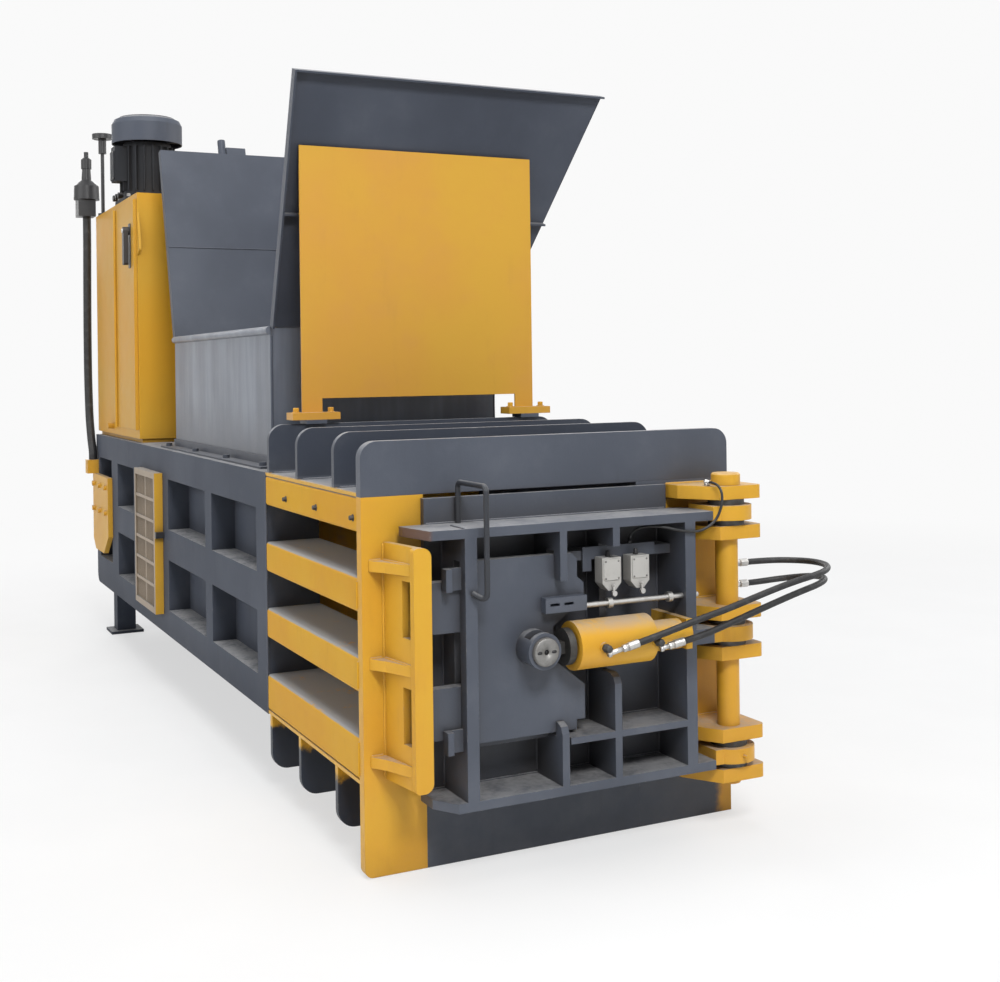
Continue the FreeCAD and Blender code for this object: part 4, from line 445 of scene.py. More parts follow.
def turned_form(profile, centre, direction, sides=24, corners=0):
    """A profile of (distance along, radius) turned round direction from centre.

    A point is centre + along * direction + radius * g(t) * (cos t * first + sin t * second).
    g is 1 for a round form; with corners = n it is cos(pi/n) / cos(t' - pi/n) with t' the angle
    within one side, which makes n flats. The profile starts and ends at radius nearly 0.
    """
    first, second = across_of(direction)
    direction = np.asarray(direction, float) / np.linalg.norm(direction)
    angle = np.linspace(0, 2 * math.pi, sides, endpoint=False)
    swell = np.ones(sides)
    if corners:
        part = math.pi / corners
        swell = math.cos(part) / np.cos(np.mod(angle, 2 * part) - part)
    along = np.array([p[0] for p in profile])[:, None, None]
    radius = np.array([p[1] for p in profile])[:, None, None]
    ring = (np.cos(angle)[:, None] * first + np.sin(angle)[:, None] * second) * swell[:, None]
    points = np.asarray(centre, float) + along * direction + radius * ring[None]
    return points.reshape(-1, 3), grid_faces(len(profile), sides)


def many(forms):
    """Several (points, faces) as one."""
    points = []
    faces = []
    count = 0
    for some_points, some_faces in forms:
        points.append(some_points)
        faces.append(some_faces + count)
        count += len(some_points)
    return np.concatenate(points), np.concatenate(faces)


def bolt(centre, direction, across):
    """A hexagon head on its washer: across over its corners, 0.65 of that high, chamfered."""
    radius = across / 2
    tall = across * 0.65
    thick = across * 0.12
    head = [(0.0, 0.0), (0.0, radius), (tall * 0.86, radius), (tall, radius * 0.86), (tall, 0.0)]
    disc = [(0.0, 0.0), (0.0, radius * 1.35), (thick, radius * 1.3), (thick, 0.0)]
    base = np.asarray(centre, float)
    direction = np.asarray(direction, float)
    return many([turned_form(disc, base, direction, 24),
                 turned_form(head, base + direction * thick, direction, 24, 6)])


def screw(centre, direction, radius, tall):
    """A flat round screw head whose rim slopes in by 0.5 mm over its height."""
    head = [(0.0, 0.0), (0.0, radius), (tall - 0.0002, radius - 0.0005), (tall, 0.0)]
    return turned_form(head, centre, direction, 16)


def weld(start, end, leg, pitch=0.011):
    """A weld bead from start to end.

    Its radius is leg * (0.82 + 0.18 * |sin(pi * s / pitch)|) with s the distance along it, and its
    line wanders by a tenth of the leg.
    """
    start = np.asarray(start, float)
    run = np.asarray(end, float) - start
    length = np.linalg.norm(run)
    count = max(4, int(length / pitch * 3))
    s = np.linspace(0.0, length, count)
    radius = leg * (0.82 + 0.18 * np.abs(np.sin(math.pi * s / pitch)))
    radius[[0, -1]] = leg * 0.05
    first, second = across_of(run)
    wander = leg * 0.1 * np.sin(s * 37.0 + length * 11.0)
    angle = np.linspace(0, 2 * math.pi, 8, endpoint=False)
    middle = start + s[:, None] * run / length + wander[:, None] * first
    ring = np.cos(angle)[:, None] * first + np.sin(angle)[:, None] * second
    points = middle[:, None, :] + radius[:, None, None] * ring[None]
    return points.reshape(-1, 3), grid_faces(count, 8)


def lid(centre, normal, up, wide, high, thick, corner=0.006, bevel=0.0015):
    """A raised plate with rounded corners and a bevelled rim.

    Its outline is the rectangle wide by high whose corners are quarter circles of radius corner:
    (sx * (wide / 2 - corner) + corner * cos t, sz * (high / 2 - corner) + corner * sin t), with
    sx and sz the signs of the quadrant of t. The outline rises along normal and shrinks by bevel
    over the last bevel of its height.
    """
    normal = np.asarray(normal, float)
    up = np.asarray(up, float)
    side = np.cross(up, normal)
    quarter = np.linspace(0, math.pi / 2, 5)
    angle = np.concatenate([quarter + k * math.pi / 2 for k in range(4)])
    signs = np.repeat(np.array([(1, 1), (-1, 1), (-1, -1), (1, -1)]), 5, axis=0)
    rings = []
    for depth, inset in ((0.0, 0.0), (thick - bevel, 0.0), (thick, bevel)):
        radius = max(corner - inset, 1e-4)
        across = signs[:, 0] * (wide / 2 - corner) + radius * np.cos(angle)
        along = signs[:, 1] * (high / 2 - corner) + radius * np.sin(angle)
        rings.append(centre + depth * normal + across[:, None] * side + along[:, None] * up)
    root = np.repeat(np.asarray(centre, float)[None], len(angle), axis=0)
    middle = root + thick * normal
    points = np.concatenate([root, *rings, middle])
    return points, grid_faces(len(rings) + 2, len(angle))


def fitting(name, forms, body, finish, smooth=True):
    """One piece made of several forms, riding on body, with its finish and material slot."""
    points, faces = many(forms)
    data = bpy.data.meshes.new(name)
    data.from_pydata(points.tolist(), [], faces.tolist())
    data.polygons.foreach_set("use_smooth", np.full(len(faces), smooth))
    data.materials.append(bpy.data.materials[finish])
    data.update()
    piece = bpy.data.objects.new(name, data)
    bpy.context.scene.collection.objects.link(piece)
    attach(piece, body)
    return piece


# ---------------------------------------------------------------- sizes and colours

def colour_property(name, description, default):
    """A colour of the panel, in linear red, green and blue."""
    return FloatVectorProperty(name=name, description=description, default=default, size=3,
                               min=0.0, max=1.0, subtype="COLOR")


def length_property(name, description, default):
    """A length of the panel, in metres."""
    return FloatProperty(name=name, description=description, default=default, unit="LENGTH")


class BalerPaints(PropertyGroup):
    yellow: colour_property("Yellow", "Main machine yellow", (0.705, 0.388, 0.030))
    amber: colour_property("Amber", "Warmer cast of the yellow where it was sprayed thick",
                           (0.685, 0.338, 0.024))
    guard: colour_property("Guard yellow", "Duller yellow of the hopper guard",
                           (0.64, 0.352, 0.038))
    guard_amber: colour_property("Guard amber", "Its warmer middle", (0.635, 0.312, 0.045))
    slate: colour_property("Slate", "Dark blue-grey of body and door", (0.070, 0.080, 0.104))
    pale_slate: colour_property("Pale slate", "Lighter cast of the dark grey",
                                (0.094, 0.106, 0.134))
    hopper: colour_property("Hopper", "Grey of the hopper sheets", (0.047, 0.055, 0.075))
    pale_hopper: colour_property("Pale hopper", "Lighter cast of the hopper grey",
                                 (0.068, 0.078, 0.102))
    # Deep blue paint of the lower ribs and below the doorway, also laid on as painted shade on the
    # roof ribs' upright faces and the body's lower edge.
    navy_and_shade: colour_property("Navy", "Thick slate paint on the lower ribs", (0.026, 0.032, 0.047))
    black: colour_property("Black", "Painted hand rails", (0.030, 0.033, 0.040))
    settled: colour_property("Settled dust", "Cool pale dust that lies on the beams",
                             (0.36, 0.37, 0.385))
    # Pale sheet colour on the hopper's lower box: rubbing wear, with painted reflection.
    burnished_and_reflection: colour_property("Burnished", "Sheet rubbed pale by what slides down it",
                               (0.24, 0.27, 0.325))
    dust: colour_property("Dust", "Pale dust of a workshop", (0.33, 0.33, 0.335))
    # Colour of dirty runs down walls, and of the painted shade that darkens corners and creases.
    grime_and_shade: colour_property("Grime", "Dirt in corners and runs", (0.045, 0.040, 0.036))
    primer: colour_property("Primer", "Rubbed edges down to primer and steel", (0.26, 0.25, 0.24))
    red_primer: colour_property("Red primer", "Brown primer where paint is missing",
                                (0.135, 0.068, 0.045))
    rust: colour_property("Rust", "Thin brown film on bare steel", (0.16, 0.075, 0.035))
    steel: colour_property("Steel", "Machined steel", (0.62, 0.61, 0.59))
    rubber: colour_property("Rubber", "Hose and cable covers", (0.012, 0.012, 0.013))
    plastic: colour_property("Switch plastic", "Pale cases of the limit switches",
                             (0.50, 0.49, 0.465))
    mesh: colour_property("Mesh", "Dusty beige of the service door", (0.36, 0.275, 0.19))
    motor: colour_property("Motor", "Dark finish of the motor", (0.022, 0.024, 0.028))


class BalerSizes(PropertyGroup):
    hose: length_property("Hose", "Outside diameter of the lock hoses", 0.022)
    cable: length_property("Cable", "Outside diameter of the switch cable", 0.009)
    weld: length_property("Weld", "Leg of the weld beads", 0.005)
    edge: length_property("Plate edge", "Rounding of flame-cut plate edges", 0.003)
    camera_height: length_property("Camera height", "Height of the camera", 1.6)


# Where the photograph was taken from, by a fit to the machine's straight edges.
CAMERA_PLACE = (3.9516, -2.0739)
CAMERA_TURN = 63.68
CAMERA_ROLL = -0.745
CAMERA_LENS = 48.21
CAMERA_SHIFT = -0.1244

FLOOR_MIDDLE = -2.0
FLOOR_RINGS = np.arange(0.0, 15.0, 2.0)
FLOOR_DROP = 0.002
WHITE = 0.955

# Name, place, target, width and height, and power of each soft lamp.
LAMPS = (
    ("lamp_over", (-1.2, -0.6, 7.5), (-1.8, 0.0, 0.0), (6.0, 4.0), 300.0),
    ("lamp_front", (5.6, -1.2, 6.6), (-0.4, 0.0, 0.9), (2.6, 1.8), 465.0),
    ("lamp_side", (-1.6, -8.0, 4.8), (-2.4, 0.0, 1.3), (7.0, 2.4), 200.0),
    ("lamp_hinge_side", (-1.6, 8.0, 4.4), (-2.2, 0.0, 1.2), (7.0, 2.4), 230.0),
    ("lamp_rear", (-11.0, 0.5, 4.2), (-3.6, 0.0, 1.4), (3.6, 3.0), 260.0),
)


# ---------------------------------------------------------------- stage

def seen_ray(tree):
    """1 for rays that show the surface: from the camera, in a reflection or through glass."""
    paths = tree.nodes.new("ShaderNodeLightPath")
    seen = paths.outputs["Is Camera Ray"]
    for kind in ("Is Glossy Ray", "Is Transmission Ray"):
        either = tree.nodes.new("ShaderNodeMath")
        either.operation = "MAXIMUM"
        tree.links.new(seen, either.inputs[0])
        tree.links.new(paths.outputs[kind], either.inputs[1])
        seen = either.outputs[0]
    return seen


class BALER_OT_stage(Operator):
    """Camera, pale floor, soft lamps and a white background"""
    bl_idname = "baler.stage"
    bl_label = "Camera and studio"

    def execute(self, context):
        self.camera(context)
        self.floor()
        for lamp in LAMPS:
            self.lamp(*lamp)
        self.background(context)
        context.scene.view_settings.view_transform = "Standard"
        return {"FINISHED"}

    def camera(self, context):
        """A level camera, turned from +Y about the vertical and rolled about its own axis."""
        data = bpy.data.cameras.new("camera")
        data.lens = CAMERA_LENS
        data.sensor_width = 36.0
        data.shift_y = CAMERA_SHIFT
        data.clip_end = 200.0
        camera = bpy.data.objects.new("camera", data)
        place = Matrix.Translation((*CAMERA_PLACE, context.scene.baler_sizes.camera_height))
        turn = Matrix.Rotation(math.radians(CAMERA_TURN), 4, "Z")
        level = Matrix.Rotation(math.radians(90), 4, "X")
        roll = Matrix.Rotation(math.radians(CAMERA_ROLL), 4, "Z")
        camera.matrix_world = place @ turn @ level @ roll
        context.scene.collection.objects.link(camera)
        context.scene.camera = camera

    def floor(self):
        """A level disc, x = FLOOR_MIDDLE + r cos t and y = r sin t, just under the feet.

        It fades into the background towards its rim.
        """
        angle = np.linspace(0, 2 * math.pi, 48, endpoint=False)
        x = FLOOR_MIDDLE + FLOOR_RINGS[:, None] * np.cos(angle)
        y = FLOOR_RINGS[:, None] * np.sin(angle)
        points = np.stack([x, y, np.full_like(x, -FLOOR_DROP)], axis=2).reshape(-1, 3)
        data = bpy.data.meshes.new("floor")
        data.from_pydata(points.tolist(), [], grid_faces(len(FLOOR_RINGS), len(angle)).tolist())
        floor = bpy.data.objects.new("floor", data)
        bpy.context.scene.collection.objects.link(floor)
        f = Finish("floor_finish")
        grain = f.cloud(0.6, 3.0, 0.5)
        f.put(Base_Color=f.mix(grain.ramp(0.3, 0.7), (0.80, 0.80, 0.80), (0.83, 0.83, 0.83)),
              Roughness=0.9)
        glow = f.node("ShaderNodeEmission", {}, {"Color": (1.0, 1.0, 1.0, 1.0), "Strength": WHITE})
        away = ((f.x - FLOOR_MIDDLE) ** 2.0 + f.y ** 2.0) ** 0.5
        fade = Wire(f, seen_ray(f.tree)) * (0.62 + 0.38 * away.ramp(3.0, 9.0))
        plain = Wire(f, f.surface.outputs["BSDF"])
        blend = f.node("ShaderNodeMixShader", {}, {0: fade, 1: plain, 2: glow})
        f.tree.links.new(blend.socket, f.out.inputs["Surface"])
        data.materials.append(f.material)

    def lamp(self, name, place, target, size, power):
        """A rectangular lamp that faces its target."""
        data = bpy.data.lights.new(name, "AREA")
        data.shape = "RECTANGLE"
        data.size, data.size_y = size
        data.energy = power
        lamp = bpy.data.objects.new(name, data)
        lamp.location = place
        away = Vector(place) - Vector(target)
        lamp.rotation_euler = away.to_track_quat("Z", "Y").to_euler()
        bpy.context.scene.collection.objects.link(lamp)

    def background(self, context):
        """White where it is seen, and a dim cool fill where it lights the machine."""
        world = bpy.data.worlds.new("studio")
        context.scene.world = world
        world.use_nodes = True
        tree = world.node_tree
        tree.nodes.clear()
        out = tree.nodes.new("ShaderNodeOutputWorld")
        blend = tree.nodes.new("ShaderNodeMixShader")
        tree.links.new(seen_ray(tree), blend.inputs[0])
        lights = (((0.90, 0.94, 1.0, 1.0), 0.20), ((1.0, 1.0, 1.0, 1.0), WHITE))
        for index, (colour, strength) in enumerate(lights):
            light = tree.nodes.new("ShaderNodeBackground")
            light.inputs["Color"].default_value = colour
            light.inputs["Strength"].default_value = strength
            tree.links.new(light.outputs[0], blend.inputs[index + 1])
        tree.links.new(blend.outputs[0], out.inputs["Surface"])


# ---------------------------------------------------------------- cords

# Control points of the cords' routes, from the door to the frame.
UPPER_HOSE = [(0.312, 0.206, 0.712), (0.316, 0.300, 0.733), (0.320, 0.420, 0.764),
              (0.322, 0.560, 0.794), (0.321, 0.700, 0.830), (0.316, 0.830, 0.858),
              (0.310, 0.960, 0.877), (0.233, 1.052, 0.884), (0.1145, 1.073, 0.884),
              (0.0105, 1.013, 0.880), (-0.020, 0.929, 0.878), (-0.020, 0.880, 0.878)]

LOWER_HOSE = [(0.312, 0.379, 0.700), (0.315, 0.450, 0.712), (0.320, 0.540, 0.738),
              (0.321, 0.650, 0.769), (0.316, 0.760, 0.797), (0.309, 0.860, 0.820),
              (0.300, 0.955, 0.838), (0.225, 1.044, 0.842), (0.110, 1.065, 0.832),
              (0.0095, 1.006, 0.812), (-0.020, 0.925, 0.802), (-0.020, 0.880, 0.802)]

SWITCH_WIRE = [(0.114, 0.300, 1.0015), (0.114, 0.300, 1.026), (0.134, 0.314, 1.051),
               (0.166, 0.338, 1.062), (0.198, 0.385, 1.060), (0.212, 0.445, 1.043),
               (0.218, 0.510, 1.036), (0.228, 0.565, 1.064), (0.237, 0.588, 1.110),
               (0.238, 0.594, 1.166), (0.2087, 0.590, 1.196), (0.1673, 0.590, 1.196)]

# Where a cord stops following the frame and where it starts to follow the door.
HOSE_SPAN = ((0.0, 1.0, 0.85), (0.31, 0.9, 0.85))
WIRE_SPAN = ((0.2, 0.64, 1.1), (0.2, 0.48, 1.1))


class BALER_OT_cords(Operator):
    """The two hoses of the lock cylinder and the cable of its limit switches"""
    bl_idname = "baler.cords"
    bl_label = "Hoses and cable"

    def line(self, name, points, diameter, length, stiffness, node, material, span):
        """A tube round the spline whose control points are the route's."""
        data = bpy.data.curves.new(name + "_route", "CURVE")
        data.dimensions = "3D"
        data.resolution_u = 14
        spline = data.splines.new("NURBS")
        spline.points.add(len(points) - 1)
        spline.points.foreach_set("co", np.c_[np.array(points), np.ones(len(points))].ravel())
        spline.order_u = 3
        spline.use_endpoint_u = True
        route = bpy.data.objects.new(name + "_route", data)
        bare = bpy.data.meshes.new_from_object(route)
        path = np.empty(len(bare.vertices) * 3)
        bare.vertices.foreach_get("co", path)
        data.bevel_depth = diameter / 2
        data.bevel_resolution = 5
        data.use_fill_caps = True
        tube = bpy.data.meshes.new_from_object(route)
        tube.name = name
        tube.polygons.foreach_set("use_smooth", np.ones(len(tube.polygons), bool))
        tube.materials.clear()
        tube.materials.append(material)
        piece = bpy.data.objects.new(name, tube)
        bpy.context.scene.collection.objects.link(piece)
        bpy.data.objects.remove(route)
        bpy.data.curves.remove(data)
        bpy.data.meshes.remove(bare)
        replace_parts(piece, node)
        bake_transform(piece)

    def execute(self, context):
        sizes = context.scene.baler_sizes
        black = rubber("hose_rubber", context.scene.baler_paints.rubber)
        self.line("upper_hose", UPPER_HOSE, sizes.hose, 1.24, "medium", "lock_hose_upper", black,
                  HOSE_SPAN)
        self.line("lower_hose", LOWER_HOSE, sizes.hose, 1.05, "medium", "lock_hose_lower", black,
                  HOSE_SPAN)
        self.line("switch_wire", SWITCH_WIRE, sizes.cable, 0.515, "limp", "switch_cable", black,
                  WIRE_SPAN)
        return {"FINISHED"}


# ---------------------------------------------------------------- paintwork

# The nodes that each finish is for. All others are slate_plate.
COATS = {
    "yellow_plate": ["frame_post_left", "lock_keeper", "hinge_lugs", "hinge_pin", "door_knuckles",
                     "lock_cylinder", "anchor_plates"],
    "yellow_beam": [name for name in NODES if name.startswith("side_beam")],
    "yellow_sheet": ["power_housing", "housing_door"],
    "guard_sheet": ["hopper_guard"],
    "ram_plate": ["press_ram"],
    "hinge_post": ["frame_post_right"],
    "slate_body": ["body_side_left", "body_side_right", "body_box"],
    "slate_sill": ["frame_sill"],
    "slate_door": ["door_frame"],
    "slate_roof": ["chamber_roof"],
    "slate_ribs": ["chamber_floor"],
    "hopper_sheet": ["hopper_front_panel", "hopper_rear_panel", "hopper_side_panel",
                     "hopper_curb"],
    "hopper_walls": ["hopper_box"],
    "black_rail": ["door_handle"],
    "mesh_beige": ["mesh_door"],
    "motor_paint": ["motor_body", "motor_rotor"],
    "cowl_paint": ["fan_cowl"],
    "switch_board": ["switch_plate"],
    "turned_steel": ["ram_rod", "cylinder_fittings", "bulkhead_fittings", "roller_lever_1",
                     "roller_lever_2"],
    "trip_steel": ["trip_rod"],
    "worn_steel": ["clevis_pin"],
    "dull_steel": ["lock_rod", "thrust_washers"],
    "dark_fittings": ["door_lever", "valve_block", "filler_breather", "prefill_valve",
                      "mesh_door_fittings"],
    "line_rubber": ["pressure_line"],
}


class BALER_OT_paint(Operator):
    """Paint, bare metal and rubber for every part of the machine"""
    bl_idname = "baler.paint"
    bl_label = "Paintwork"

    def execute(self, context):
        paints = context.scene.baler_paints
        self.plates(paints)
        self.sheets(paints)
        self.small_parts(paints)
        self.unpainted(paints)
        finishes = {name: finish for finish, names in COATS.items() for name in names}
        for name, node in NODES.items():
            node.data.materials.clear()
            node.data.materials.append(bpy.data.materials[finishes.get(name, "slate_plate")])
        return {"FINISHED"}

    def plates(self, p):
        paintwork("yellow_plate", p.yellow, p.amber, dust=0.6, wear=0.15, streak=0.1)
        paintwork("yellow_beam", p.yellow, p.amber, dust=2.2, wear=0.15, gloss=0.5, streak=0.08,
                  second=beam_tone, sheen=0.1, settled=p.settled)
        paintwork("ram_plate", p.yellow, p.amber, dust=0.9, wear=0.9, scuff=0.8)
        paintwork("hinge_post", p.yellow, p.amber, dust=0.6, wear=0.15, streak=0.1,
                  second=hinge_post_tone)
        paintwork("slate_plate", p.slate, p.pale_slate, dust=0.7, streak=0.15, grime_and_shade=0.75)
        paintwork("slate_door", p.slate, p.pale_slate, dust=0.7, streak=0.15, grime_and_shade=0.75,
                  second=door_tone)
        paintwork("slate_body", p.slate, p.pale_slate, dust=1.0, gloss=0.58, streak=0.15,
                  second=body_tone_and_low_shade, sheen=0.12)
        paintwork("slate_sill", p.slate, p.pale_slate, dust=1.0, gloss=0.5, streak=0.2,
                  second=floor_film)
        paintwork("slate_roof", p.slate, p.pale_slate, dust=0.8, streak=0.15,
                  second=roof_edge_and_rib_shade)
        paintwork("slate_ribs", p.navy_and_shade, p.navy_and_shade, dust=0.5, second=floor_rib_tone)

    def sheets(self, p):
        """Folded sheets, whose edges are half as round as a plate's."""
        paintwork("yellow_sheet", p.guard, p.amber, dust=0.2, wear=0.08, streak=0.05, share=0.5,
                  sheen=0.2)
        paintwork("guard_sheet", p.guard, p.guard_amber, dust=0.4, wear=0.1, gloss=0.38,
                  streak=0.04, grime_and_shade=0.15, share=0.5, second=guard_pad_tone)
        paintwork("hopper_sheet", p.hopper, p.pale_hopper, wear=0.2, streak=0.1, share=0.5,
                  sheen=0.3)
        paintwork("hopper_walls", p.slate, p.pale_slate, dust=0.6, gloss=0.33, streak=0.15,
                  share=0.5, second=chute_wear_and_reflection)

    def small_parts(self, p):
        """Rails, mesh, motor and switches, whose edges are a third as round."""
        paintwork("black_rail", p.black, p.black, share=1 / 3)
        paintwork("mesh_beige", p.mesh, shade(p.mesh, 0.85), dust=0.6, wear=0.2, grime_and_shade=0.4,
                  share=1 / 3, second=mesh_tone)
        paintwork("motor_paint", p.motor, shade(p.motor, 1.3), dust=0.35, wear=0.15, gloss=0.55,
                  share=1 / 3, sheen=0.15)
        paintwork("cowl_paint", p.slate, p.slate, dust=0.6, wear=0.1, gloss=0.5, share=1 / 3,
                  sheen=0.25)
        paintwork("switch_board", p.slate, p.pale_slate, dust=0.5, wear=0.2, streak=0.1,
                  share=1 / 3, second=switch_case_tone)

    def unpainted(self, p):
        """Steel, moulded cases and rubber."""
        turned_steel("turned_steel", p.steel)
        turned_steel("trip_steel", p.steel, painted=trip_foot_tone)
        turned_steel("worn_steel", shade(p.steel, 0.45), rough=0.42, rust=0.3)
        turned_steel("dull_steel", shade(p.steel, 0.16), rough=0.45, rust=0.25)
        moulded("dark_fittings", shade(p.rubber, 1.6), 0.42, 0.2)
        moulded("switch_cases", p.plastic, 0.42, 0.35)
        rubber("line_rubber", p.rubber)


# ---------------------------------------------------------------- welds and bolts

# Faces, levels and ends that the welds run along, in metres. A weld on the door's skin is given by
# the y and z of both its ends, one on a shelf by its y, z and inner end.
SKIN = 0.0271
SHELF_UNDER = 1.068
RIB_SIDES = (-0.349, 0.011, 0.182, 0.208, 0.463)
SKIN_WELDS = [(side, SILL_TOP, side, SHELF_UNDER) for side in RIB_SIDES] + [
    (-0.308, SILL_TOP, -0.308, 0.420), (-0.015, SILL_TOP, -0.015, 0.395),
    (-0.405, 1.071, -0.352, 1.071), (-0.405, 0.257, 0.500, 0.257), (-0.405, 1.101, 0.500, 1.101),
    (0.014, 0.387, 0.180, 0.387), (0.210, 0.387, 0.460, 0.387), (0.210, 0.409, 0.460, 0.409)]
SHELF_WELDS = [(-0.308, 0.2575, 0.060), (0.011, 0.2575, 0.060), (0.208, 0.2575, 0.060),
               (-0.349, 1.1015, 0.100)]
SHELF_REACH = 0.200
KEEPER_LEVELS = (0.347, 0.381, 0.654, 0.688, 0.962, 0.996)
LUG_LEVELS = (0.174, 0.220, 0.310, 0.356, 0.590, 0.636, 0.726, 0.772, 1.000, 1.046, 1.136, 1.182)
RIB_FACES = (-0.248, -0.273, -0.639, -0.664, -0.990, -1.015)
BEAM_EDGES = (0.300, 0.435, 0.5753, 0.6883, 0.8287, 0.9417, 1.082)
FRAME_FRONT = 0.001
FRAME_BACK = -0.0405
BODY_FRONT = -1.0395
ROOF_SEAM = 1.2075
HOPPER_FRONT = -1.2855
HOPPER_REAR = -2.9735
HOPPER_SILL = 1.7755


class BALER_OT_welds(Operator):
    """Weld beads where plates meet, painted over with their plates"""
    bl_idname = "baler.welds"
    bl_label = "Weld beads"

    def beads(self, name, body, finish, slot, runs, leg):
        fitting(name, [weld(start, end, leg) for start, end in runs], body, finish)

    def execute(self, context):
        leg = context.scene.baler_sizes.weld
        self.beads("door_welds", DOOR, "slate_plate", "dark_paint", self.door(), leg)
        self.beads("frame_welds", PRESS, "yellow_plate", "yellow_paint", self.frame(), leg)
        self.beads("beam_welds", PRESS, "yellow_beam", "yellow_paint", self.beams(), leg)
        self.beads("roof_welds", PRESS, "slate_plate", "dark_paint", self.roof(), leg)
        self.beads("hopper_welds", PRESS, "hopper_sheet", "hopper_paint", self.hopper(), leg * 0.8)
        return {"FINISHED"}

    def door(self):
        """Along the ribs and shelves on the door's skin, and the ribs on the shelves."""
        runs = [((SKIN, y, z), (SKIN, far_y, far_z)) for y, z, far_y, far_z in SKIN_WELDS]
        return runs + [((SHELF_REACH, y, z), (inner, y, z)) for y, z, inner in SHELF_WELDS]

    def frame(self):
        """Along the keeper's gussets and web, and round the hinge lugs."""
        x = FRAME_FRONT
        runs = [((x, -0.588, z), (x, -0.545, z)) for z in KEEPER_LEVELS]
        runs += [((0.172, -0.5125, KEEPER_LEVELS[k]), (0.004, -0.5395, KEEPER_LEVELS[k]))
                 for k in (0, 3, 5)]
        runs.append(((x, -0.5405, 0.308), (x, -0.5405, 1.049)))
        return runs + [((x, 0.520, z), (x, 0.782, z)) for z in LUG_LEVELS]

    def beams(self):
        """Where the box beams meet the frame, over their edges and up their outer faces."""
        x = FRAME_BACK
        runs = [((x, -0.610, z), (x, -0.560, z)) for z in BEAM_EDGES]
        for side in (-0.612, 0.612):
            runs += [((x, side, BEAM_EDGES[k] + 0.012), (x, side, BEAM_EDGES[k + 1] - 0.012))
                     for k in (0, 2, 4)]
        return runs

    def roof(self):
        """Along the roof's ribs, down the body's front corners and under the lintel."""
        runs = [((x, -0.595, ROOF_SEAM), (x, 0.595, ROOF_SEAM)) for x in RIB_FACES]
        runs += [((BODY_FRONT, side, 0.285), (BODY_FRONT, side, 1.205))
                 for side in (-0.6115, 0.6115)]
        return runs + [((FRAME_BACK, -0.598, ROOF_SEAM), (FRAME_BACK, 0.598, ROOF_SEAM))]

    def hopper(self):
        """Up the corners of the lower box and round its upper rim."""
        front, rear, sill = HOPPER_FRONT, HOPPER_REAR, HOPPER_SILL
        return [((front, -0.506, 1.220), (front, -0.506, 1.738)),
                ((rear, -0.506, 1.220), (rear, -0.506, 1.738)),
                ((front, 0.4855, 1.220), (front, 0.4855, 1.772)),
                ((front, -0.500, sill), (front, 0.480, sill)),
                ((rear, -0.500, sill), (rear, 0.480, sill)),
                ((-1.290, 0.4865, sill), (-2.970, 0.4865, sill))]


# x and y of the motor's axis and the top of its flange; x, both y and the top of the guard's feet;
# x of the top beams' bolts.
MOTOR = (-4.0, -0.431)
MOTOR_FLANGE = 2.602
GUARD_FEET = (-1.0025, (-0.429, 0.492), 1.433)
TOP_BEAM_BOLTS = (-0.780, -0.438, -0.071)


class BALER_OT_bolts(Operator):
    """Hexagon bolts of the guard, the top beams and the motor"""
    bl_idname = "baler.bolts"
    bl_label = "Bolts"

    def heads(self, name, finish, slot, spots, across):
        forms = [bolt(place, way, across) for place, way in spots]
        fitting(name, forms, PRESS, finish, smooth=False)

    def execute(self, context):
        x, feet, top = GUARD_FEET
        guard = [((x, foot + step, top), (0, 0, 1)) for foot in feet for step in (-0.070, 0.070)]
        self.heads("guard_bolts", "yellow_plate", "yellow_paint", guard, 0.024)
        beam = [((x, side * 0.6122, 1.126), (0, side, 0))
                for side in (-1, 1) for x in TOP_BEAM_BOLTS]
        self.heads("beam_bolts", "dull_steel", "bright_steel", beam, 0.017)
        motor = [((MOTOR[0] + dx, MOTOR[1] + dy, MOTOR_FLANGE), (0, 0, 1))
                 for dx in (-0.135, 0.135) for dy in (-0.135, 0.135)]
        self.heads("motor_bolts", "worn_steel", "bright_steel", motor, 0.024)
        return {"FINISHED"}


# ---------------------------------------------------------------- hose ends

# Radii of a sleeve, of its grooves' bottom and of the steel tube, and the nut over its corners.
SLEEVE = 0.0138
GROOVE = 0.0124
TUBE = 0.0082
NUT = 0.024

# Profiles, as distance along and radius: the adapter on a port, and nut and gland on the frame.
ADAPTER = [(0.0, 0.0), (0.0, 0.014), (0.010, 0.014), (0.011, 0.0125), (0.026, 0.0125),
           (0.028, 0.011), (0.028, 0.0)]
FRAME_NUT = [(0.0, 0.0), (0.0, 0.0168), (0.012, 0.0168), (0.014, 0.0145), (0.014, 0.0)]
FRAME_GLAND = [(0.0, 0.0), (0.0, 0.0070), (0.003, 0.0095), (0.011, 0.0095), (0.012, 0.0078),
               (0.022, 0.0078), (0.026, 0.0058), (0.026, 0.0)]

# y of the lock cylinder's two ports, x of their face, and their level.
PORTS = (0.095, 0.290)
PORT_FACE = 0.295
PORT_LEVEL = 0.705


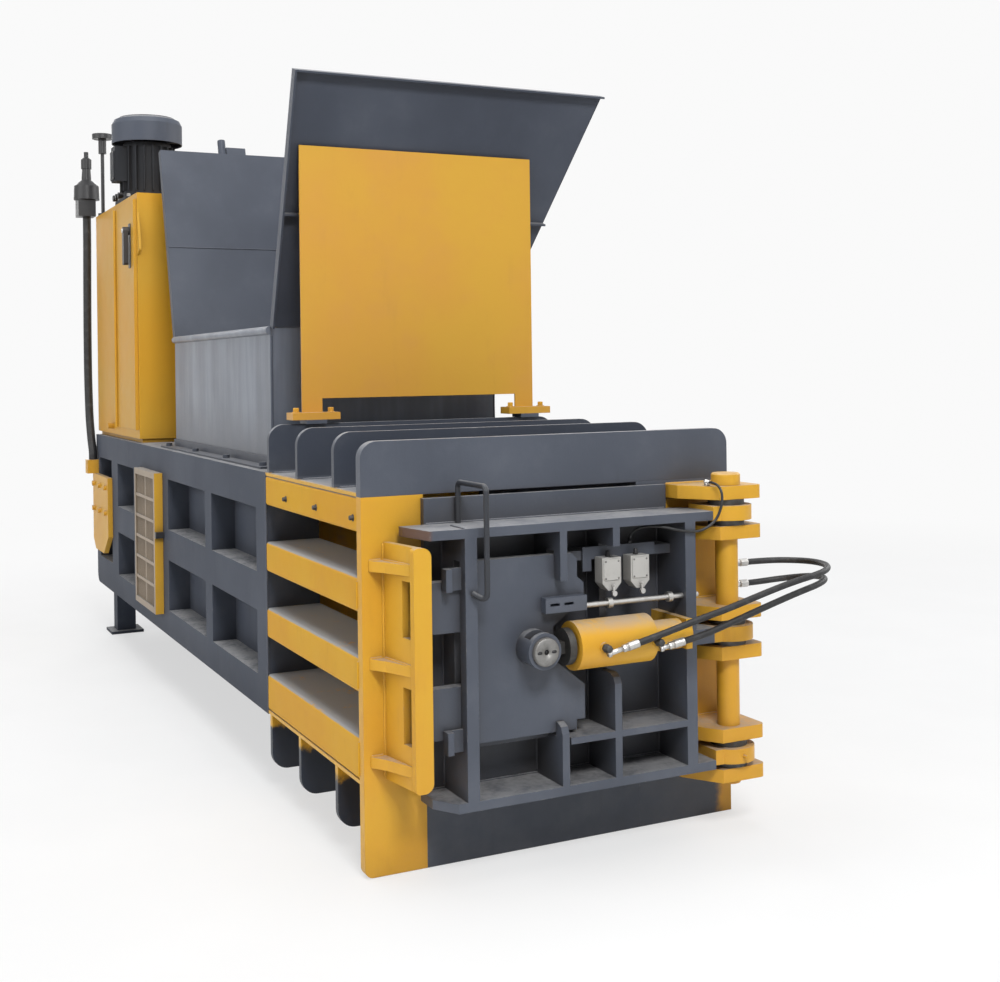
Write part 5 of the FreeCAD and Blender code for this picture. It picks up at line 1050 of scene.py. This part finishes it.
def crimped_end(tip, away, length):
    """A hose end: the sleeve pressed on the hose with six grooves, and a hexagon behind it.

    The sleeve takes 0.62 of the length. Its radius is SLEEVE but for six grooves, a seventh of
    the sleeve apart, each a V 3.6 mm wide that goes down to the radius GROOVE.
    """
    end = length * 0.62
    sleeve = [(0.0, 0.0), (0.0, 0.0111), (0.0, SLEEVE)]
    for step in range(1, 7):
        at = end * step / 7
        sleeve += [(at - 0.0018, SLEEVE), (at, GROOVE), (at + 0.0018, SLEEVE)]
    sleeve += [(end, SLEEVE), (end + 0.002, 0.0105), (end + 0.002, 0.0)]
    hexagon = [(0.0, 0.0), (0.0, 0.0125), (length * 0.34, 0.0125), (length * 0.36, 0.0115),
               (length * 0.36, 0.0)]
    tip = np.asarray(tip, float)
    away = np.asarray(away, float)
    return many([turned_form(sleeve, tip, away, 32),
                 turned_form(hexagon, tip + away * (end + 0.001), away, 24, 6)])


def stub(start, end):
    """A steel tube from start to end, with a hexagon nut at its end."""
    start = np.asarray(start, float)
    run = np.asarray(end, float) - start
    length = np.linalg.norm(run)
    tube = [(0.0, 0.0), (0.0, TUBE), (length, TUBE), (length, 0.0)]
    high = NUT * 0.5
    nut = [(0.0, 0.0), (0.0, NUT / 2), (high * 0.85, NUT / 2), (high, NUT * 0.43), (high, 0.0)]
    return many([turned_form(tube, start, run, 24),
                 turned_form(nut, start + run * (1 - high / length), run, 24, 6)])


class BALER_OT_hose_ends(Operator):
    """Crimped ends, nuts and adapters of the two lock hoses"""
    bl_idname = "baler.hose_ends"
    bl_label = "Hose ends"

    def execute(self, context):
        self.cylinder_side()
        self.frame_side()
        return {"FINISHED"}

    def cylinder_side(self):
        """Each hose ends in a stub that reaches back, along its own line, over its port."""
        ends = []
        ports = []
        for route, port in zip((UPPER_HOSE, LOWER_HOSE), PORTS):
            tip = np.array(route[0])
            away = tip - np.array(route[1])
            away = away / np.linalg.norm(away)
            reach = (tip[1] - port) / abs(away[1])
            ends += [crimped_end(tip, away, 0.058), stub(tip + away * 0.050, tip + away * reach)]
            ports.append(turned_form(ADAPTER, (PORT_FACE, port, PORT_LEVEL), (1, 0, 0), 24, 6))
        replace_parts(fitting("cylinder_hose_ends", ends, DOOR, "turned_steel"),
                    "cylinder_fittings")
        fitting("port_adapters", ports, DOOR, "dull_steel")

    def frame_side(self):
        """The hoses end on the side of the hinge post, the cable on top of the upper lug."""
        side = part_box("frame_post_right")[1][1]
        ends = []
        for route in (UPPER_HOSE, LOWER_HOSE):
            tip = np.array(route[-1])
            face = (tip[0], side, tip[2])
            ends += [crimped_end(tip, (0, -1, 0), 0.049),
                     stub(tip - (0, 0.045, 0), (tip[0], side + 0.014, tip[2])),
                     turned_form(FRAME_NUT, face, (0, 1, 0), 24, 6)]
        x, y, z = SWITCH_WIRE[-1]
        ends.append(turned_form(FRAME_GLAND, (x - 0.026, y, z), (1, 0, 0), 24, 6))
        ends.append(lid(np.array((x - 0.014, y, LUG_LEVELS[-1])), (0, 0, 1), (1, 0, 0), 0.018,
                        0.016, 0.010, 0.003))
        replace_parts(fitting("frame_hose_ends", ends, PRESS, "turned_steel"),
                    "bulkhead_fittings")


# Profiles of the plate on the clevis pin's head and of the bore in its middle.
PIN_PLATE = [(0.0, 0.0), (0.0, 0.0425), (0.0030, 0.0425), (0.0042, 0.041), (0.0042, 0.0095),
             (0.0008, 0.0088), (0.0008, 0.0)]
PIN_BORE = [(0.0, 0.0), (0.0, 0.0082), (0.0004, 0.0080), (0.0004, 0.0)]


class BALER_OT_lock_face(Operator):
    """Round plate on the head of the clevis pin, with thin black pads as painted shade in its
    centre bore and two slots
    """
    bl_idname = "baler.lock_face"
    bl_label = "Clevis pin face"

    def execute(self, context):
        low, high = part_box("clevis_pin")
        middle = (low[1] + high[1]) / 2
        level = (low[2] + high[2]) / 2
        plate = turned_form(PIN_PLATE, (high[0], middle, level), (1, 0, 0), 48)
        fitting("pin_plate", [plate], LOCK, "worn_steel")
        # Painted shade: thin black pads stand in for the shadowed insides of the bore and the
        # slots.
        hole_shade = [turned_form(PIN_BORE, (high[0] + 0.0008, middle, level), (1, 0, 0), 24)]
        for side in (-0.0255, 0.0255):
            slot = np.array((high[0] + 0.0040, middle + side, level))
            hole_shade.append(lid(slot, (1, 0, 0), (0, 0, 1), 0.017, 0.010, 0.0006, 0.0045, 0.0003))
        fitting("pin_hole_shade", hole_shade, LOCK, "dark_fittings")
        return {"FINISHED"}


# ---------------------------------------------------------------- switches and power pack

# x of the switch cases' faces, y and level of their middles, the lids' thickness, x and level of
# the top where the glands stand, and the profiles of both kinds of gland.
SWITCH_FACE = 0.1667
SWITCH_MIDDLES = (0.1985, 0.3075)
SWITCH_LEVEL = 0.928
SWITCH_LID = 0.0035
SWITCH_TOP = (0.140, 0.968)
SWITCH_GLAND = [(0.0, 0.0), (0.0, 0.010), (0.008, 0.010), (0.009, 0.0075), (0.018, 0.0075),
                (0.020, 0.005), (0.020, 0.0)]
CABLE_GLAND = [(0.0, 0.0), (0.0, 0.009), (0.009, 0.009), (0.010, 0.0072), (0.021, 0.0065),
               (0.022, 0.0)]


class BALER_OT_switches(Operator):
    """Lids, screws and cable glands of the two limit switches"""
    bl_idname = "baler.switches"
    bl_label = "Limit switches"

    def execute(self, context):
        lids = []
        screws = []
        glands = []
        for middle in SWITCH_MIDDLES:
            face = np.array((SWITCH_FACE, middle, SWITCH_LEVEL))
            lids.append(lid(face, (1, 0, 0), (0, 0, 1), 0.062, 0.070, SWITCH_LID))
            screws += [screw(face + (SWITCH_LID - 0.0001, dy, dz), (1, 0, 0), 0.0035, 0.0018)
                       for dy in (-0.024, 0.024) for dz in (-0.028, 0.028)]
            glands.append(turned_form(SWITCH_GLAND, (SWITCH_TOP[0], middle, SWITCH_TOP[1]),
                                      (0, 0, 1), 24, 6))
        glands.append(turned_form(CABLE_GLAND, SWITCH_WIRE[0], (0, 0, 1), 24, 6))
        fitting("switch_lids", lids, DOOR, "switch_cases", smooth=False)
        fitting("switch_screws", screws, DOOR, "worn_steel")
        fitting("switch_glands", glands, DOOR, "dark_fittings")
        return {"FINISHED"}


# The terminal box's lid.
TERMINAL_LEVEL = 2.7925
TERMINAL_LID = 0.008

# y of the bay's leaf, x of its handle, levels of the handle's plate and lock, the lock's profile.
BAY_LEAF = -0.6003
HANDLE = -3.678
HANDLE_PLATE_LEVEL = 2.302
HANDLE_LOCK_LEVEL = 2.385
HANDLE_LOCK = [(0.0, 0.0), (0.0, 0.0125), (0.004, 0.0125), (0.006, 0.0105), (0.006, 0.004),
               (0.004, 0.0035), (0.004, 0.0)]

# x and z of the rear panel's foot, how far it leans back for each metre up, and its seam.
PANEL_FOOT = (-2.973, 1.775)
PANEL_SLOPE = 296.0 / 1008.0
SEAM_LEVEL = 2.250
SEAM_END = 0.640

# The fan cowl and the ridges of its guard.
COWL_RADIUS = 0.158
RIDGE_PITCH = 0.021


class BALER_OT_power_pack(Operator):
    """Fan guard, terminal box lid, the plate and lock of the bay's handle, and a panel seam"""
    bl_idname = "baler.power_pack"
    bl_label = "Power pack fittings"

    def execute(self, context):
        self.fan_guard()
        self.terminal_box()
        self.handle()
        self.panel_seam()
        return {"FINISHED"}

    def fan_guard(self):
        """Seven round ridges 9 mm wide and 3 mm high on the cowl, RIDGE_PITCH apart."""
        low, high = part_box("fan_cowl")
        top = ((low[0] + high[0]) / 2, (low[1] + high[1]) / 2, high[2])
        ridges = [(0.0, 0.0), (0.0, COWL_RADIUS)]
        for step in range(7):
            outer = COWL_RADIUS - step * RIDGE_PITCH
            ridges += [(0.003, outer), (0.003, outer - 0.009), (0.0006, outer - 0.011),
                       (0.0006, outer - 0.020)]
        ridges.append((0.0006, 0.0))
        fitting("fan_guard", [turned_form(ridges, top, (0, 0, 1), 48)], PRESS, "motor_paint",
                smooth=False)

    def terminal_box(self):
        face = np.array((MOTOR[0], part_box("motor_body")[0][1], TERMINAL_LEVEL))
        cover = lid(face, (0, -1, 0), (0, 0, 1), 0.105, 0.170, TERMINAL_LID, 0.012, 0.003)
        screws = [screw(face + (dx, 0.0001 - TERMINAL_LID, dz), (0, -1, 0), 0.0045, 0.0022)
                  for dx in (-0.042, 0.042) for dz in (-0.075, 0.075)]
        fitting("terminal_lid", [cover], PRESS, "motor_paint", smooth=False)
        fitting("terminal_screws", screws, PRESS, "worn_steel")

    def handle(self):
        """The plate stays on the bay's leaf; the lock turns with the lever."""
        plate = lid(np.array((HANDLE, BAY_LEAF, HANDLE_PLATE_LEVEL)), (0, -1, 0), (0, 0, 1), 0.062,
                    0.250, 0.0035, 0.012, 0.0015)
        fitting("handle_plate", [plate], BAY, "dark_fittings", smooth=False)
        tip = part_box("door_lever")[0][1]
        lock = turned_form(HANDLE_LOCK, (HANDLE, tip, HANDLE_LOCK_LEVEL), (0, -1, 0), 32)
        fitting("handle_lock", [lock], LEVER, "turned_steel")

    def panel_seam(self):
        """The weld between the two sheets of the hopper's rear panel, which leans back."""
        x = PANEL_FOOT[0] - (SEAM_LEVEL - PANEL_FOOT[1]) * PANEL_SLOPE
        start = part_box("hopper_rear_panel")[0][1] + 0.004
        seam = weld((x, start, SEAM_LEVEL), (x, SEAM_END, SEAM_LEVEL), 0.0028, 0.030)
        fitting("panel_seam", [seam], PRESS, "hopper_sheet")


class BALER_PT_panel(Panel):
    """Everything that the baler's finishes are made of"""
    bl_idname = "BALER_PT_panel"
    bl_label = "Baler"
    bl_space_type = "VIEW_3D"
    bl_region_type = "UI"
    bl_category = "Baler"

    def draw(self, context):
        """A button for each step, then every size and colour."""
        for step in STEPS:
            self.layout.operator(step.bl_idname)
        for group in (context.scene.baler_sizes, context.scene.baler_paints):
            box = self.layout.box()
            for name in group.__annotations__:
                box.prop(group, name)


STEPS = [BALER_OT_stage, BALER_OT_cords, BALER_OT_paint, BALER_OT_welds, BALER_OT_bolts,
         BALER_OT_hose_ends, BALER_OT_switches, BALER_OT_lock_face, BALER_OT_power_pack]
CLASSES = [BalerPaints, BalerSizes, *STEPS, BALER_PT_panel]


def register():
    for each in CLASSES:
        bpy.utils.register_class(each)
    bpy.types.Scene.baler_paints = PointerProperty(type=BalerPaints)
    bpy.types.Scene.baler_sizes = PointerProperty(type=BalerSizes)


def unregister():
    del bpy.types.Scene.baler_sizes
    del bpy.types.Scene.baler_paints
    for each in reversed(CLASSES):
        bpy.utils.unregister_class(each)


def main():
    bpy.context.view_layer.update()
    register()
    bpy.ops.baler.stage()
    bpy.ops.baler.cords()
    bpy.ops.baler.paint()
    bpy.ops.baler.welds()
    bpy.ops.baler.bolts()
    bpy.ops.baler.hose_ends()
    bpy.ops.baler.switches()
    bpy.ops.baler.lock_face()
    bpy.ops.baler.power_pack()


if __name__ == "__main__":
    main()
